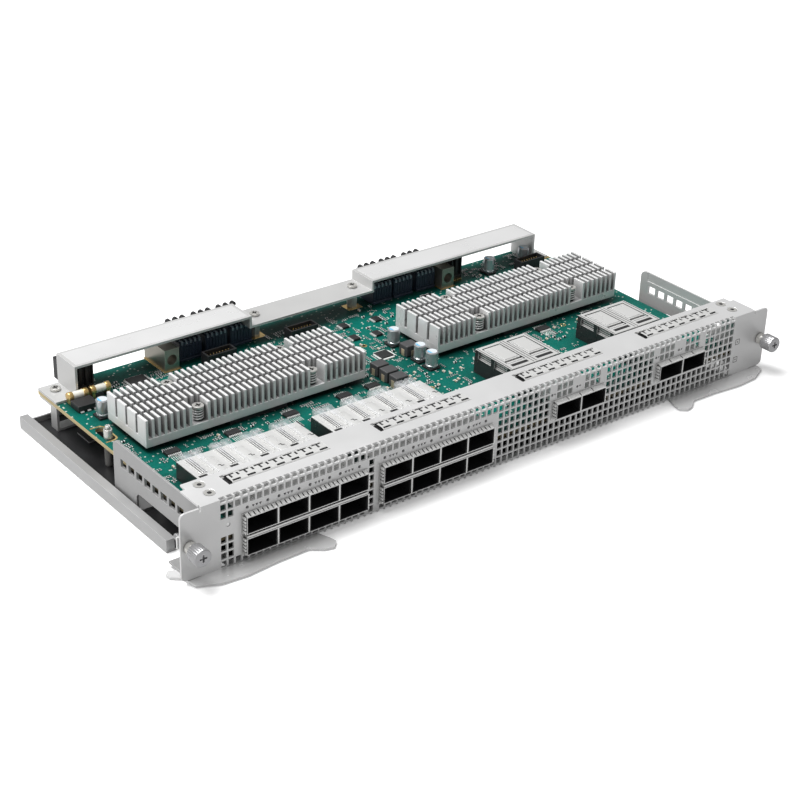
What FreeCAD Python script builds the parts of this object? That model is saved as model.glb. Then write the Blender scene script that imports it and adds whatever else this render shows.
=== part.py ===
import FreeCAD, Part
import math
import os
from FreeCAD import Vector

# Switch line card, millimetres. X runs along the faceplate, Y runs from the
# faceplate's front to the rear connectors, Z is up from the tray's underside.

# Faceplate
panel_width = 440.0
panel_height = 43.5
panel_sheet = 1.2
ear_width = 12.1
ear_rise = 2.1
ear_drop = 0.9
ear_corner_radius = 3.0
ear_relief = 1.0
flange_depth = 24.5
flange_step_depth = 19.0
flange_step = 3.3
lip_depth = 12.0
lip_inset = 29.0
lip_window_gap = 0.8

# Ventilation grille
hole_width = 6.6
hole_height = 6.6
hole_web = 1.9
grille_rows = 4
grille_left = 27.5
grille_right = 33.0
grille_bottom = 9.3
lamp_window_row = 2
vent_group_width = 13.6
bend_notch_height = 2.8
bend_notch_depth = 2.4
panel_web = 1.0

# Port blocks, measured from the faceplate's left edge
port_width = 18.9
port_height = 9.6
port_wall = 1.0
cage_wall = 0.4
cage_reach = 3.5
block_a_left = 38.0
block_b_left = 127.8
block_c_left = panel_width - 184.8
block_d_left = panel_width - 99.0
high_block_port_count = 4
low_block_port_count = 2
cage_ab_depth = 66.0
cage_cd_depth = 72.0
collar_width = 1.2
collar_front = 0.6
finger_rise = 1.1
fingers_per_port = 2
finger_width = 5.6
plug_depth = 15.0
plug_margin = 0.7

# Light pipes over the cages
pipe_size = 1.5
pipe_pitch = 6.0
pipes_per_port = 2
pipe_overhang = 4.0
pipe_bend = 3.0
lamp_height = 1.2

# Riding heat sinks of the two single-row blocks
rider_width = 17.2
rider_depth = 33.0
rider_height = 5.2
rider_back_gap = 1.0
clip_sheet = 0.5
clip_border = 2.2
clip_strap_width = 3.0

# Spring strips in the top flange
strip_lefts = (36.4, 0.3073 * panel_width, 0.5436 * panel_width, panel_width - 100.4)
strip_length = 65.0
strip_width = 10.2
strip_front = 10.2
strip_tabs = 7
strip_sheet = 0.3
strip_crown = 1.0
strip_lap = 1.2
tab_width = 7.4
tab_gap = 0.2
tab_slope = 2.0

# Circuit board
board_thickness = 2.6
board_top = 19.1
board_inset = 25.0
board_front = 2.6
board_back = 201.3
slot_width = 6.4
slot_length = 17.0
slot_x = 31.0
slot_y = 132.0
ground_hole_radius = 1.7
ground_hole_x = panel_width / 2 + 0.4
ground_hole_ys = (70.2, 139.0)

# Tray
tray_sheet = 1.2
rail_inset = 9.7
rail_height = 7.9
rail_lip = 5.4
rail_front = 31.0
tray_back = 197.0
tray_back_height = 4.4
tray_neck_inset = 33.0
tray_joggle_front = 3.5
joggle_back = 14.0
pad_length = 14.0
pad_width = 14.0
pad_rise = 1.0
pad_x = 40.0
pad_y = 163.0

# Side brackets
bracket_sheet = 1.5
bracket_inset = 16.3
bracket_depth = 96.0
bracket_height = 37.6
bracket_cutout_back = 72.5
bracket_cutout_front = 27.5
bracket_cutout_top = 15.0
bracket_corner = 4.0
bracket_band = 6.0
bracket_band_step = 0.4
bracket_head_depth = 23.5
bracket_shelf = 14.0
bracket_foot = 11.0
window_count = 8
window_pitch = 8.4
window_length = 6.4
window_height = 5.2
window_front = 23.2
window_bottom = 23.4
pivot_tab_back = 20.0
pivot_tab_reach = 12.0
pivot_tab_bottom = 2.0

# Ejector levers
lever_bottom = 0.3
lever_top = 1.8
lever_gap = 0.6
lever_length = 86.0
lever_corner = 1.6
lever_reach = 16.8
lever_lip_gap = 1.5
lever_thumb = ((-1.0, -lever_gap), (2.0, -8.0), (3.0, -13.0), (-1.0, -lever_reach), (-6.5, -15.4), (-13.5, -10.2))
lever_front = ((53.0, -10.6), (33.0, -12.5), (17.4, -11.2), (4.8, -5.6), (3.0, 4.5))
lever_claw = ((-2.0, 8.6), (-2.4, 11.8), (0.6, 14.6), (4.4, 12.0), (8.4, 14.8), (18.5, 13.8), (22.0, 6.0))
pivot_x = 12.6
pivot_y = 9.0
pivot_radius = 2.0
pivot_clearance = 0.05
rivet_head_radius = 3.0
rivet_head_height = 0.5
lever_seat_depth = 0.7
rivet_seat_gap = 0.3

# Captive thumbscrews
captive_inset = 5.2
captive_height = 22.1
knob_radius = 5.4
knob_length = 8.6
neck_radius = 1.4
thread_radius = 1.75
thread_length = 6.0
ferrule_radius = 3.8
ferrule_front = 4.6
ferrule_bore = 2.3
clip_size = 7.0
clip_height = 1.2
clip_place = 6.0
clip_clearance = 0.05
ferrule_knob_gap = 0.3

# Heat sinks
sink_share = 0.3477
sink_depth = 43.0
sink_front = 99.0
sink_base_bottom = 22.3
sink_base = 5.3
sink_top = 39.8
sink_inset = 38.8
fin_columns = 16
fin_rows = 4
fin_thickness = 3.8
fin_row_gap = 2.2
sink_screw_offset = 39.5
sink_screw_margin = 4.6
screw_clearing = 4.2
spring_radius = 3.1
spring_height = 7.6
sink_screw_head_radius = 3.4
sink_screw_head_height = 1.8
chip_size = 40.0

# Rear stiffener
bar_sheet = 1.5
bar_front = 178.6
bar_back = 201.0
bar_top = 40.0
strip_level = 33.2
bar_left = 38.2
bar_left_end = 162.5
bar_right_start = panel_width - 183.0
bar_right = panel_width - 40.5
foot_length = 13.4
post_left_x = 172.5
post_right_x = panel_width - 190.5
post_y = 190.8
post_radius = 3.6
foot_screw_x = 32.2
foot_screw_back = 14.4

# Screws and standoffs
small_round_sides = 10
screw_radius = 1.5
screw_head_radius = 3.3
screw_head_height = 1.9
screw_depth = 5.0
standoff_radius = 3.2
standoff_x = 33.0
standoff_y = 72.0
leg_sheet = 1.5
leg_front = 179.0
leg_back = 186.5
flange_screw_inset = 23.7
flange_screw_ys = (9.4, 19.2)
sink_head_radius = 3.6

# Rear connectors
module_width = 15.6
module_front = 185.3
module_back = 204.5
module_step = 192.5
module_low = 31.5
module_high = 38.2
module_groove = 1.0
module_groove_bottom = 2.0
module_gap = 0.3
modules_left = (113.9, 132.6, 151.0)
modules_right = (panel_width - 177.2, panel_width - 159.6, panel_width - 140.4)
module_teeth = 2
module_grooves = 2
tooth_width = 3.6
tooth_rise = 1.2
guide_width = 10.0
guide_front = 178.4
guide_back = 203.0
guide_height = 14.2
guide_bore = 3.5
guide_left_x = 99.0
guide_right_x = panel_width - 123.6
power_left_x = 40.4
power_left_width = 13.2
power_right_x = panel_width - 110.6
power_right_width = 9.2
power_front = 184.5
power_back = 210.5
power_height = 18.4
power_slot_width = 1.6
power_slot_depth = 7.0

# Parts on the board, measured from the left edge and the faceplate's front
capacitor_radius = 4.0
capacitor_height = 11.4
capacitor_base = 1.6
middle_capacitor_ys = (130.0, 103.2, 91.4)
outer_capacitor_places = ((40.6, 151.2), (panel_width - 79.2, 181.6), (panel_width - 46.8, 182.6))
inductor_width = 9.6
inductor_depth = 8.2
inductor_height = 7.5
inductor_ys = (103.4, 93.8, 84.0)
fourth_inductor_y = 114.4
fuse_radius = 2.8
fuse_length = 13.0
fuse_cap_length = 3.2
fuse_lift = 5.0
fuse_y = 175.0
fuse_lefts = (30.6, 45.4)
relay_left = 30.6
relay_front = 160.5
relay_width = 13.0
relay_depth = 11.5
relay_height = 4.2
header_width = 20.8
header_depth = 8.2
header_height = 8.0
header_wall = 1.0
header_floor = 2.0
header_front = 167.8
header_lefts = (123.4, 185.2, panel_width - 61.0)
guide_post_radius = 2.6
guide_post_top = 27.0
guide_post_x = 30.4
guide_post_y = 127.4

# Places that follow from the sizes above
half = panel_width / 2
board_bottom = board_top - board_thickness
body_width = panel_width - 2 * ear_width
cage_height = port_height + 2 * cage_wall
board_back_of_panel = panel_sheet
sheet_top = panel_height - panel_sheet
rear_reach = power_back
front_reach = lever_reach
mid_y = (rear_reach - front_reach) / 2
foot_screw_y = bar_front + foot_screw_back
sink_width = sink_share * panel_width
sink_left_x = sink_inset + sink_width / 2
sink_right_x = panel_width - sink_inset - sink_width / 2
middle_left = sink_inset + sink_width
middle_right = panel_width - middle_left
middle_spare = middle_right - middle_left - 2 * inductor_width
inductor_x = middle_left + inductor_width / 2 + 0.25 * middle_spare
middle_capacitor_x = middle_right - inductor_width / 2 - 0.16 * middle_spare


def across(distance):
    """X of a place given by its distance from the faceplate's left edge."""
    return distance - half


def box(x0, x1, y0, y1, z0, z1):
    return Part.makeBox(x1 - x0, y1 - y0, z1 - z0, Vector(x0, y0, z0))


def rod(radius, x, y, z0, z1):
    return Part.makeCylinder(radius, z1 - z0, Vector(x, y, z0))


def rod_along_y(radius, x, z, y0, y1):
    return Part.makeCylinder(radius, y1 - y0, Vector(x, y0, z), Vector(0, 1, 0))


def prism(points, step):
    """A flat outline swept along one straight step."""
    wire = Part.makePolygon(points + [points[0]])
    return Part.Face(wire).extrude(step)


def side_profile(outline, x0, x1):
    """An outline of (y, z) pairs swept from x0 to x1."""
    return prism([Vector(x0, y, z) for y, z in outline], Vector(x1 - x0, 0, 0))


def front_profile(outline, y0, y1):
    """An outline of (x, z) pairs swept from y0 to y1."""
    return prism([Vector(x, y0, z) for x, z in outline], Vector(0, y1 - y0, 0))


def top_profile(outline, z0, z1):
    """An outline of (x, y) pairs swept from z0 to z1."""
    return prism([Vector(x, y, z0) for x, y in outline], Vector(0, 0, z1 - z0))


def mirrored(shape):
    return shape.mirror(Vector(0, 0, 0), Vector(1, 0, 0))


def both_sides(shape):
    return [shape, mirrored(shape)]


def joined(shapes):
    solid = shapes[0].fuse(shapes[1:])
    return solid.removeSplitter()


def save(name, *shapes):
    shape = Part.makeCompound(list(shapes)) if len(shapes) > 1 else shapes[0]
    shape = shape.copy()
    shape.translate(Vector(0, -mid_y, 0))
    shape.exportStep("parts/" + name + ".step")


def round_edges_along(shape, direction, places, radius):
    """Round the straight edges that run along a direction through the given places."""
    chosen = []
    for edge in shape.Edges:
        if not isinstance(edge.Curve, Part.Line) or abs(edge.Curve.Direction.dot(direction)) < 0.999:
            continue
        middle = edge.CenterOfMass
        flat = middle - direction * middle.dot(direction)
        if any((flat - place).Length < 0.01 for place in places):
            chosen.append(edge)
    return shape.makeFillet(radius, chosen)


# Port blocks

def block_width(ports):
    return ports * port_width + (ports - 1) * port_wall + 2 * cage_wall


def block_spans():
    """Left edge, port count, lowest and highest level of each block."""
    low = board_bottom - cage_height
    high = board_top + cage_height
    return {
        "a": (across(block_a_left), high_block_port_count, low, high),
        "b": (across(block_b_left), high_block_port_count, low, high),
        "c": (across(block_c_left), low_block_port_count, board_top, high),
        "d": (across(block_d_left), low_block_port_count, board_top, high),
    }


def port_left(block_left, index):
    return block_left + cage_wall + index * (port_width + port_wall)


def cage(block, bottom, depth):
    """Folded sheet cage, open at the front, one cavity for each port."""
    left, ports, low, high = block_spans()[block]
    shell = box(left, left + block_width(ports), -cage_reach, depth, bottom, bottom + cage_height)
    cavities = []
    for index in range(ports):
        x = port_left(left, index)
        cavities.append(box(x, x + port_width, -cage_reach - 1, depth - cage_wall,
                            bottom + cage_wall, bottom + cage_wall + port_height))
    return shell.cut(Part.makeCompound(cavities))


def module_sockets(block, bottom, depth):
    """The socket that each module's card edge enters, at the back of its cavity."""
    left, ports, low, high = block_spans()[block]
    back = depth - cage_wall
    floor = bottom + cage_wall
    sockets = []
    for index in range(ports):
        x = port_left(left, index) + plug_margin
        sockets.append(box(x, x + port_width - 2 * plug_margin, back - plug_depth, back,
                           floor, floor + port_height - plug_margin))
    return sockets


def collar_fingers(left, ports, level):
    """A row of sloped contact fingers that stand up from a level."""
    fingers = []
    pitch = (port_width + port_wall) / fingers_per_port
    for index in range(ports * fingers_per_port):
        x = left + cage_wall + (index + 0.5) * pitch - finger_width / 2
        slope = [(-cage_reach + 0.3, level), (-collar_front, level), (-collar_front, level + finger_rise)]
        fingers.append(side_profile(slope, x, x + finger_width))
    return fingers


def collar(block, rows):
    """Frame with contact fingers round a block's mouth, through the faceplate's window."""
    left, ports, low, high = block_spans()[block]
    right = left + block_width(ports)
    frame = box(left - collar_width, right + collar_width, -collar_front, panel_sheet + 0.3,
                low - collar_width, high + collar_width)
    openings = [box(left, right, -collar_front - 1, panel_sheet + 1, bottom, bottom + cage_height) for bottom in rows]
    frame = frame.cut(Part.makeCompound(openings))
    slope = [(left - collar_width, -collar_front), (left, -collar_front), (left, -cage_reach + 0.3)]
    cheeks = [top_profile(slope, bottom, bottom + cage_height) for bottom in rows]
    pieces = [frame] + cheeks + collar_fingers(left, ports, high)
    if len(rows) > 1:
        divider = box(left + cage_wall, right - cage_wall, -cage_reach + 0.3, -collar_front,
                      board_bottom, board_bottom + board_thickness / 2)
        pieces.append(divider)
        pieces += collar_fingers(left, ports, board_bottom + board_thickness / 2)
    return joined(pieces)


def light_pipes(block):
    """Clear bars from lamps behind a cage, over its top, to the faceplate."""
    left, ports, low, high = block_spans()[block]
    foot = cage_ab_depth + pipe_overhang
    top = high + pipe_size
    bars = []
    for port in range(ports):
        for index in range(pipes_per_port):
            x = port_left(left, port) + port_width / 2 + (index - (pipes_per_port - 1) / 2) * pipe_pitch
            outline = [(panel_sheet + 0.5, high), (foot - pipe_bend, high), (foot, high - pipe_bend),
                       (foot, board_top + lamp_height), (foot + pipe_size, board_top + lamp_height),
                       (foot + pipe_size, high - pipe_bend + pipe_size / 2), (foot - pipe_bend + pipe_size / 2, top),
                       (panel_sheet + 0.5, top)]
            bars.append(side_profile(outline, x - pipe_size / 2, x + pipe_size / 2))
    return bars


def lamps():
    """Small lamps on the board under the light pipes' rear ends."""
    found = []
    for block in ("a", "b"):
        left, ports, low, high = block_spans()[block]
        foot = cage_ab_depth + pipe_overhang
        for port in range(ports):
            centre = port_left(left, port) + port_width / 2
            reach = (pipes_per_port - 1) / 2 * pipe_pitch + pipe_size
            found.append(box(centre - reach, centre + reach, foot - 0.4, foot + pipe_size + 0.4,
                             board_top, board_top + lamp_height))
    return found


def riders(block):
    """One flat heat sink on each cage cavity of a single-row block."""
    left, ports, low, high = block_spans()[block]
    back = cage_cd_depth - rider_back_gap
    sinks = []
    for port in range(ports):
        x = port_left(left, port) + (port_width - rider_width) / 2
        sink = box(x, x + rider_width, back - rider_depth, back, high, high + rider_height)
        groove = box(x - 1, x + rider_width + 1, back - rider_depth * 0.24, back - rider_depth * 0.16,
                     high + rider_height - 1.2, high + rider_height + 1)
        sinks.append(sink.cut(groove))
    return sinks


def rider_clip(block):
    """Sprung frame that holds the riding heat sinks down, with straps to the cage's sides."""
    left, ports, low, high = block_spans()[block]
    right = left + block_width(ports)
    back = cage_cd_depth - rider_back_gap
    front = back - rider_depth
    level = high + rider_height
    frame = box(left - clip_sheet, right + clip_sheet, front, back, level, level + clip_sheet)
    for port in range(ports):
        x = port_left(left, port)
        window = box(x + clip_border, x + port_width - clip_border, front + 3 * clip_border, back - clip_border,
                     level - 1, level + clip_sheet + 1)
        frame = frame.cut(window)
    straps = []
    for y in (front, (front + back - clip_strap_width) / 2, back - clip_strap_width):
        for x in (left - clip_sheet, right):
            straps.append(box(x, x + clip_sheet, y, y + clip_strap_width, high - 4 * clip_sheet, level))
    return joined([frame] + straps)


# Faceplate

def panel_window(block, rows):
    left, ports, low, high = block_spans()[block]
    return (left - collar_width, left + block_width(ports) + collar_width, low - collar_width, high + collar_width)


def grille_columns():
    pitch = hole_width + hole_web
    span = panel_width - grille_left - grille_right
    count = int(round(span / pitch)) + 1
    return [across(grille_left) + index * span / (count - 1) for index in range(count)]


def is_over_port(x, block):
    """True where a short block has a group of vent holes above one of its ports."""
    left, ports, low, high = block_spans()[block]
    for port in range(ports):
        centre = port_left(left, port) + port_width / 2
        if abs(x - centre) < vent_group_width / 2:
            return True
    return False


def grille_holes():
    """Square holes in every free part of the faceplate, row by row."""
    windows = [panel_window(name, 0) for name in ("a", "b", "c", "d")]
    lamp_left = across(grille_left) - hole_width
    lamp_right = across(block_a_left) - collar_width
    row_pitch = hole_height + hole_web
    holes = []
    for x in grille_columns():
        for row in range(grille_rows):
            z = grille_bottom + row * row_pitch
            blocked = False
            for name, window in zip(("a", "b", "c", "d"), windows):
                x0, x1, z0, z1 = window
                inside = x0 - hole_width / 2 - panel_web < x < x1 + hole_width / 2 + panel_web
                band_top = z1 + hole_height if name in ("a", "b") else z1
                if inside and z0 - hole_height / 2 - panel_web < z < band_top + hole_height / 2 + panel_web / 2:
                    blocked = True
                if inside and name in ("c", "d") and z > z1 and not is_over_port(x, name):
                    blocked = True
            if lamp_left < x < lamp_right and row == lamp_window_row:
                blocked = True
            if not blocked:
                holes.append(box(x - hole_width / 2, x + hole_width / 2, -1, panel_sheet + 1,
                                 z - hole_height / 2, z + hole_height / 2))
    return holes


def bend_notches():
    """The grille's top row, which wraps over the upper bend."""
    notches = []
    for x in grille_columns():
        notches.append(box(x - hole_width / 2, x + hole_width / 2, -1, bend_notch_depth,
                           panel_height - bend_notch_height, panel_height + 1))
    return notches


def faceplate():
    """One punched and folded sheet: front wall, ears, top flange and bottom lip."""
    body_half = body_width / 2
    lip_half = half - lip_inset
    low = ear_rise
    ear_top = panel_height - ear_drop
    outline = [(-half, low), (-lip_half, low), (-lip_half, 0), (lip_half, 0), (lip_half, low), (half, low),
               (half, ear_top), (body_half, ear_top), (body_half, panel_height), (-body_half, panel_height),
               (-body_half, ear_top), (-half, ear_top)]
    wall = front_profile(outline, 0, panel_sheet)
    corners = [Vector(x, 0, z) for x in (-half, half) for z in (low, ear_top)]
    wall = round_edges_along(wall, Vector(0, 1, 0), corners, ear_corner_radius)
    flange_outline = [(-body_half, 0), (body_half, 0), (body_half, flange_step_depth),
                      (body_half - flange_step, flange_step_depth), (body_half - flange_step, flange_depth),
                      (-body_half + flange_step, flange_depth), (-body_half + flange_step, flange_step_depth),
                      (-body_half, flange_step_depth)]
    flange = top_profile(flange_outline, sheet_top, panel_height)
    lip = box(-lip_half, lip_half, 0, lip_depth, 0, panel_sheet)
    sheet = joined([wall, flange, lip])
    cuts = grille_holes() + bend_notches()
    for name in ("a", "b", "c", "d"):
        x0, x1, z0, z1 = panel_window(name, 0)
        cuts.append(box(x0, x1, -1, panel_sheet + 1, z0, z1))
    for left in strip_lefts:
        x = across(left)
        cuts.append(box(x, x + strip_length, strip_front, strip_front + strip_width, sheet_top - 1, panel_height + 1))
    for side in (-1, 1):
        x = side * body_half
        cuts.append(box(x - ear_relief / 2, x + ear_relief / 2, -1, panel_sheet + 1,
                        ear_top - 2 * ear_relief, panel_height + 1))
        cuts.append(small_round_along_y(ferrule_bore, side * (half - captive_inset), captive_height,
                                        -1, panel_sheet + 1))
        for y in flange_screw_ys:
            cuts.append(countersunk_head(side * (half - flange_screw_inset), y))
    return sheet.cut(Part.makeCompound(cuts))


def spring_strip(left):
    """Carrier strip under the top flange with a row of arched contact tabs in its window."""
    x0 = across(left)
    x1 = x0 + strip_length
    y0 = strip_front
    y1 = strip_front + strip_width
    top = sheet_top
    carriers = [box(x0, x1, y0 - strip_lap, y0 + strip_lap, top - strip_sheet, top),
                box(x0, x1, y1 - strip_lap, y1 + strip_lap, top - strip_sheet, top)]
    pitch = strip_length / strip_tabs
    crown = panel_height + strip_crown - strip_sheet
    tabs = []
    for index in range(strip_tabs):
        x = x0 + (index + 0.5) * pitch - tab_width / 2
        arch = [(y0 + tab_gap, top - strip_sheet), (y0 + tab_slope, crown - strip_sheet),
                (y1 - tab_slope, crown - strip_sheet), (y1 - tab_gap, top - strip_sheet),
                (y1 - tab_slope + strip_sheet, crown), (y0 + tab_slope - strip_sheet, crown)]
        tabs.append(side_profile(arch, x, x + tab_width))
    return joined(carriers + tabs)


# Fasteners

def pan_screw(x, y, seat, depth):
    """Screw with a low round head on a level seat, shank down."""
    head = small_round(screw_head_radius, x, y, seat, seat + screw_head_height)
    return head.fuse(small_round(screw_radius, x, y, seat - depth, seat))


def countersunk_head(x, y):
    """Flush tapered head through the top flange."""
    wires = []
    for radius, z in ((screw_radius, sheet_top), (sink_head_radius, panel_height)):
        corners = [Vector(cx, cy, z) for cx, cy in ring_of_corners(radius, x, y, small_round_sides)]
        wires.append(Part.makePolygon(corners + [corners[0]]))
    return Part.makeLoft(wires, True, True)


def flange_screws():
    return [countersunk_head(side * (half - flange_screw_inset), y) for side in (-1, 1) for y in flange_screw_ys]


def stiffener_screws():
    """Screws through the stiffener: two in its low strip and one in each foot."""
    screws = [pan_screw(across(x), post_y, strip_level, screw_depth) for x in (post_left_x, post_right_x)]
    for side in (-1, 1):
        screws.append(pan_screw(side * (half - foot_screw_x), foot_screw_y, board_top + bar_sheet,
                                bar_sheet + board_thickness))
    return screws


def board_standoffs():
    """Hexagonal posts between the tray's floor and the board."""
    places = [(across(post_left_x), post_y), (across(post_right_x), post_y)]
    places += [(side * (half - standoff_x), standoff_y) for side in (-1, 1)]
    return [hexagon(standoff_radius, x, y, tray_sheet, board_bottom) for x, y in places]


def ring_of_corners(radius, x, y, sides):
    step = 2 * math.pi / sides
    return [(x + radius * math.cos(k * step), y + radius * math.sin(k * step)) for k in range(sides)]


def hexagon(radius, x, y, z0, z1):
    return top_profile(ring_of_corners(radius, x, y, 6), z0, z1)


def small_round(radius, x, y, z0, z1):
    """A small round part, drawn with flats so that the many of them stay light."""
    return top_profile(ring_of_corners(radius, x, y, small_round_sides), z0, z1)


def small_round_along_y(radius, x, z, y0, y1):
    return front_profile(ring_of_corners(radius, x, z, small_round_sides), y0, y1)


def stiffener_posts():
    """Hexagonal posts between the board and the stiffener's low strip."""
    posts = []
    for x in (across(post_left_x), across(post_right_x)):
        post = hexagon(post_radius, x, post_y, board_top, strip_level - bar_sheet)
        posts.append(post.cut(small_round(screw_radius, x, post_y, strip_level - screw_depth, strip_level)))
    return posts


def rear_leg():
    """Folded leg from the tray's floor to the board's left rear corner, under the stiffener's foot."""
    x0 = across(board_inset)
    x1 = across(bar_left)
    upright = box(x0, x0 + leg_sheet, leg_front, leg_back, tray_sheet, board_bottom)
    foot = box(x0, x1, leg_front, leg_back, tray_sheet, tray_sheet + leg_sheet)
    shelf = box(x0, x1, leg_front, foot_screw_y + 2 * screw_head_radius, board_bottom - leg_sheet, board_bottom)
    return joined([upright, foot, shelf])


# Tray and brackets

def base_tray():
    """Folded sheet tray: floor, side rails with inward lips, rear wall and joggled front edge."""
    outer = half - rail_inset
    neck = half - tray_neck_inset
    floor_outline = [(-neck, joggle_back), (neck, joggle_back), (neck, rail_front), (outer, rail_front),
                     (outer, tray_back), (-outer, tray_back), (-outer, rail_front), (-neck, rail_front)]
    floor = top_profile(floor_outline, 0, tray_sheet)
    step = box(-neck, neck, joggle_back, joggle_back + tray_sheet, 0, 2 * tray_sheet)
    front_tab = box(-neck, neck, tray_joggle_front, joggle_back + tray_sheet, panel_sheet, panel_sheet + tray_sheet)
    rail = side_channel()
    rear = box(-outer, outer, tray_back - tray_sheet, tray_back, 0, tray_back_height)
    pad = box(across(pad_x) - pad_width / 2, across(pad_x) + pad_width / 2,
              pad_y - pad_length / 2, pad_y + pad_length / 2, tray_sheet, tray_sheet + pad_rise)
    return joined([floor, step, front_tab, rail, mirrored(rail), rear, pad, mirrored(pad)])


def side_channel():
    outer = half - rail_inset
    section = [(-outer, 0), (-outer + tray_sheet, 0), (-outer + tray_sheet, rail_height - tray_sheet),
               (-outer + rail_lip, rail_height - tray_sheet), (-outer + rail_lip, rail_height), (-outer, rail_height)]
    return front_profile(section, rail_front, tray_back)


def side_bracket():
    """Left wall between the faceplate and the tray, with a row of windows and a cable gap."""
    x0 = across(bracket_inset)
    x1 = x0 + bracket_sheet
    front = panel_sheet
    head = sheet_top
    outline = [(front, pivot_tab_bottom), (bracket_cutout_front, pivot_tab_bottom), (bracket_cutout_front, bracket_cutout_top),
               (bracket_cutout_back, bracket_cutout_top), (bracket_cutout_back, tray_sheet),
               (bracket_depth, tray_sheet), (bracket_depth, bracket_height),
               (bracket_head_depth, bracket_height), (bracket_head_depth, head), (front, head)]
    wall = side_profile(outline, x0, x1)
    round_places = [Vector(0, bracket_cutout_back, bracket_cutout_top), Vector(0, bracket_depth, bracket_height)]
    wall = round_edges_along(wall, Vector(1, 0, 0), round_places, bracket_corner)
    windows = []
    for index in range(window_count):
        y = window_front + index * window_pitch
        windows.append(box(x0 - 1, x1 + 1, y, y + window_length, window_bottom, window_bottom + window_height))
    band = box(x1 - bracket_band_step, x1 + 1, bracket_head_depth, bracket_depth - bracket_band,
               bracket_height - bracket_band, bracket_height + 1)
    wall = wall.cut(Part.makeCompound(windows + [band]))
    shelf = box(x0, x1 + bracket_shelf, front, bracket_head_depth, head - bracket_sheet, head)
    foot = box(x0, x1 + bracket_foot, bracket_cutout_back, bracket_depth, tray_sheet, tray_sheet + bracket_sheet)
    tab = box(x0 - pivot_tab_reach, x1, front, pivot_tab_back, pivot_tab_bottom, pivot_tab_bottom + panel_sheet)
    bracket = joined([wall, shelf, foot, tab])
    return bracket.cut(rod(pivot_radius, across(pivot_x), pivot_y, pivot_tab_bottom - 1, pivot_tab_bottom + bracket_sheet))


def guide_post():
    """Round post from the tray's floor up through the slot in the board's edge."""
    return small_round(guide_post_radius, across(guide_post_x), guide_post_y, tray_sheet, guide_post_top)


# Ejectors

def lever():
    """Left ejector: a flat arm in front of the lip, a pivot eye under the ear and a claw outside it."""
    thumb = [(lever_length + x, y) for x, y in lever_thumb]
    outline = [(lip_inset - lever_lip_gap, -lever_gap)] + thumb + list(lever_front) + list(lever_claw)
    plate = top_profile([(across(x), y) for x, y in outline], lever_bottom, lever_top)
    rounded = [Vector(across(x), y, 0) for x, y in (thumb[2], thumb[3], lever_claw[-2])]
    plate = round_edges_along(plate, Vector(0, 0, 1), rounded, lever_corner)
    bore = rod(pivot_radius + pivot_clearance, across(pivot_x), pivot_y, 0, panel_height)
    seat = small_round(rivet_head_radius + rivet_seat_gap, across(pivot_x), pivot_y, 0, lever_bottom + lever_seat_depth)
    return plate.cut(bore.fuse(seat))


def pivot_rivet():
    """Shouldered rivet that the lever turns on, its lower head sunk into the lever."""
    x = across(pivot_x)
    tab_top = pivot_tab_bottom + panel_sheet
    shaft = rod(pivot_radius, x, pivot_y, lever_bottom, tab_top)
    low_head = small_round(rivet_head_radius, x, pivot_y, lever_bottom, lever_bottom + rivet_head_height)
    return shaft.fuse(low_head)


# Captive thumbscrews

def ferrule():
    """Sleeve on the left ear that the thumbscrew runs through."""
    x = -half + captive_inset
    sleeve = small_round_along_y(ferrule_radius, x, captive_height, -ferrule_front, 0)
    return sleeve.cut(small_round_along_y(ferrule_bore, x, captive_height, -ferrule_front - 1, 1))


def knob():
    """Thumb knob and its screw, turned as one, with a neck narrower than the threaded end."""
    x = -half + captive_inset
    back = -ferrule_front - ferrule_knob_gap
    thread = clip_place + clip_height + clip_clearance
    head = small_round_along_y(knob_radius, x, captive_height, back - knob_length, back)
    neck = rod_along_y(neck_radius, x, captive_height, back, thread)
    return head.fuse([neck, rod_along_y(thread_radius, x, captive_height, thread, thread + thread_length)])


def retaining_clip():
    """Slotted clip on the screw behind the ear, which stops it from falling out."""
    x = -half + captive_inset
    z = captive_height
    reach = clip_size / 2
    radius = neck_radius + clip_clearance
    plate = box(x - reach, x + reach, clip_place, clip_place + clip_height, z - reach, z + reach)
    mouth = box(x - radius, x + radius, clip_place - 1, clip_place + clip_height + 1, z - reach - 1, z)
    return plate.cut(mouth.fuse(rod_along_y(radius, x, z, clip_place - 1, clip_place + clip_height + 1)))


# Board and cooling

def main_board():
    """The circuit board with its guide slot, ground holes and screw holes."""
    left = across(board_inset)
    board = box(left, -left, board_front, board_back, board_bottom, board_top)
    radius = slot_width / 2
    x = across(slot_x)
    y0 = slot_y - slot_length / 2 + radius
    y1 = slot_y + slot_length / 2 - radius
    ends = [small_round(radius, x, y, board_bottom - 1, board_top + 1) for y in (y0, y1)]
    slot = box(x - radius, x + radius, y0, y1, board_bottom - 1, board_top + 1).fuse(ends)
    holes = [small_round(ground_hole_radius, across(ground_hole_x), y, board_bottom - 1, board_top + 1)
             for y in ground_hole_ys]
    holes += [small_round(screw_radius, side * (half - foot_screw_x), foot_screw_y, board_bottom - 1, board_top + 1)
              for side in (-1, 1)]
    return board.cut(Part.makeCompound([slot] + holes))


def sink_screw_places(centre):
    x = across(centre)
    near = sink_front + sink_screw_margin
    far = sink_front + sink_depth - sink_screw_margin
    return [(x + side * sink_screw_offset, y) for side in (-1, 1) for y in (near, far)]


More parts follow.
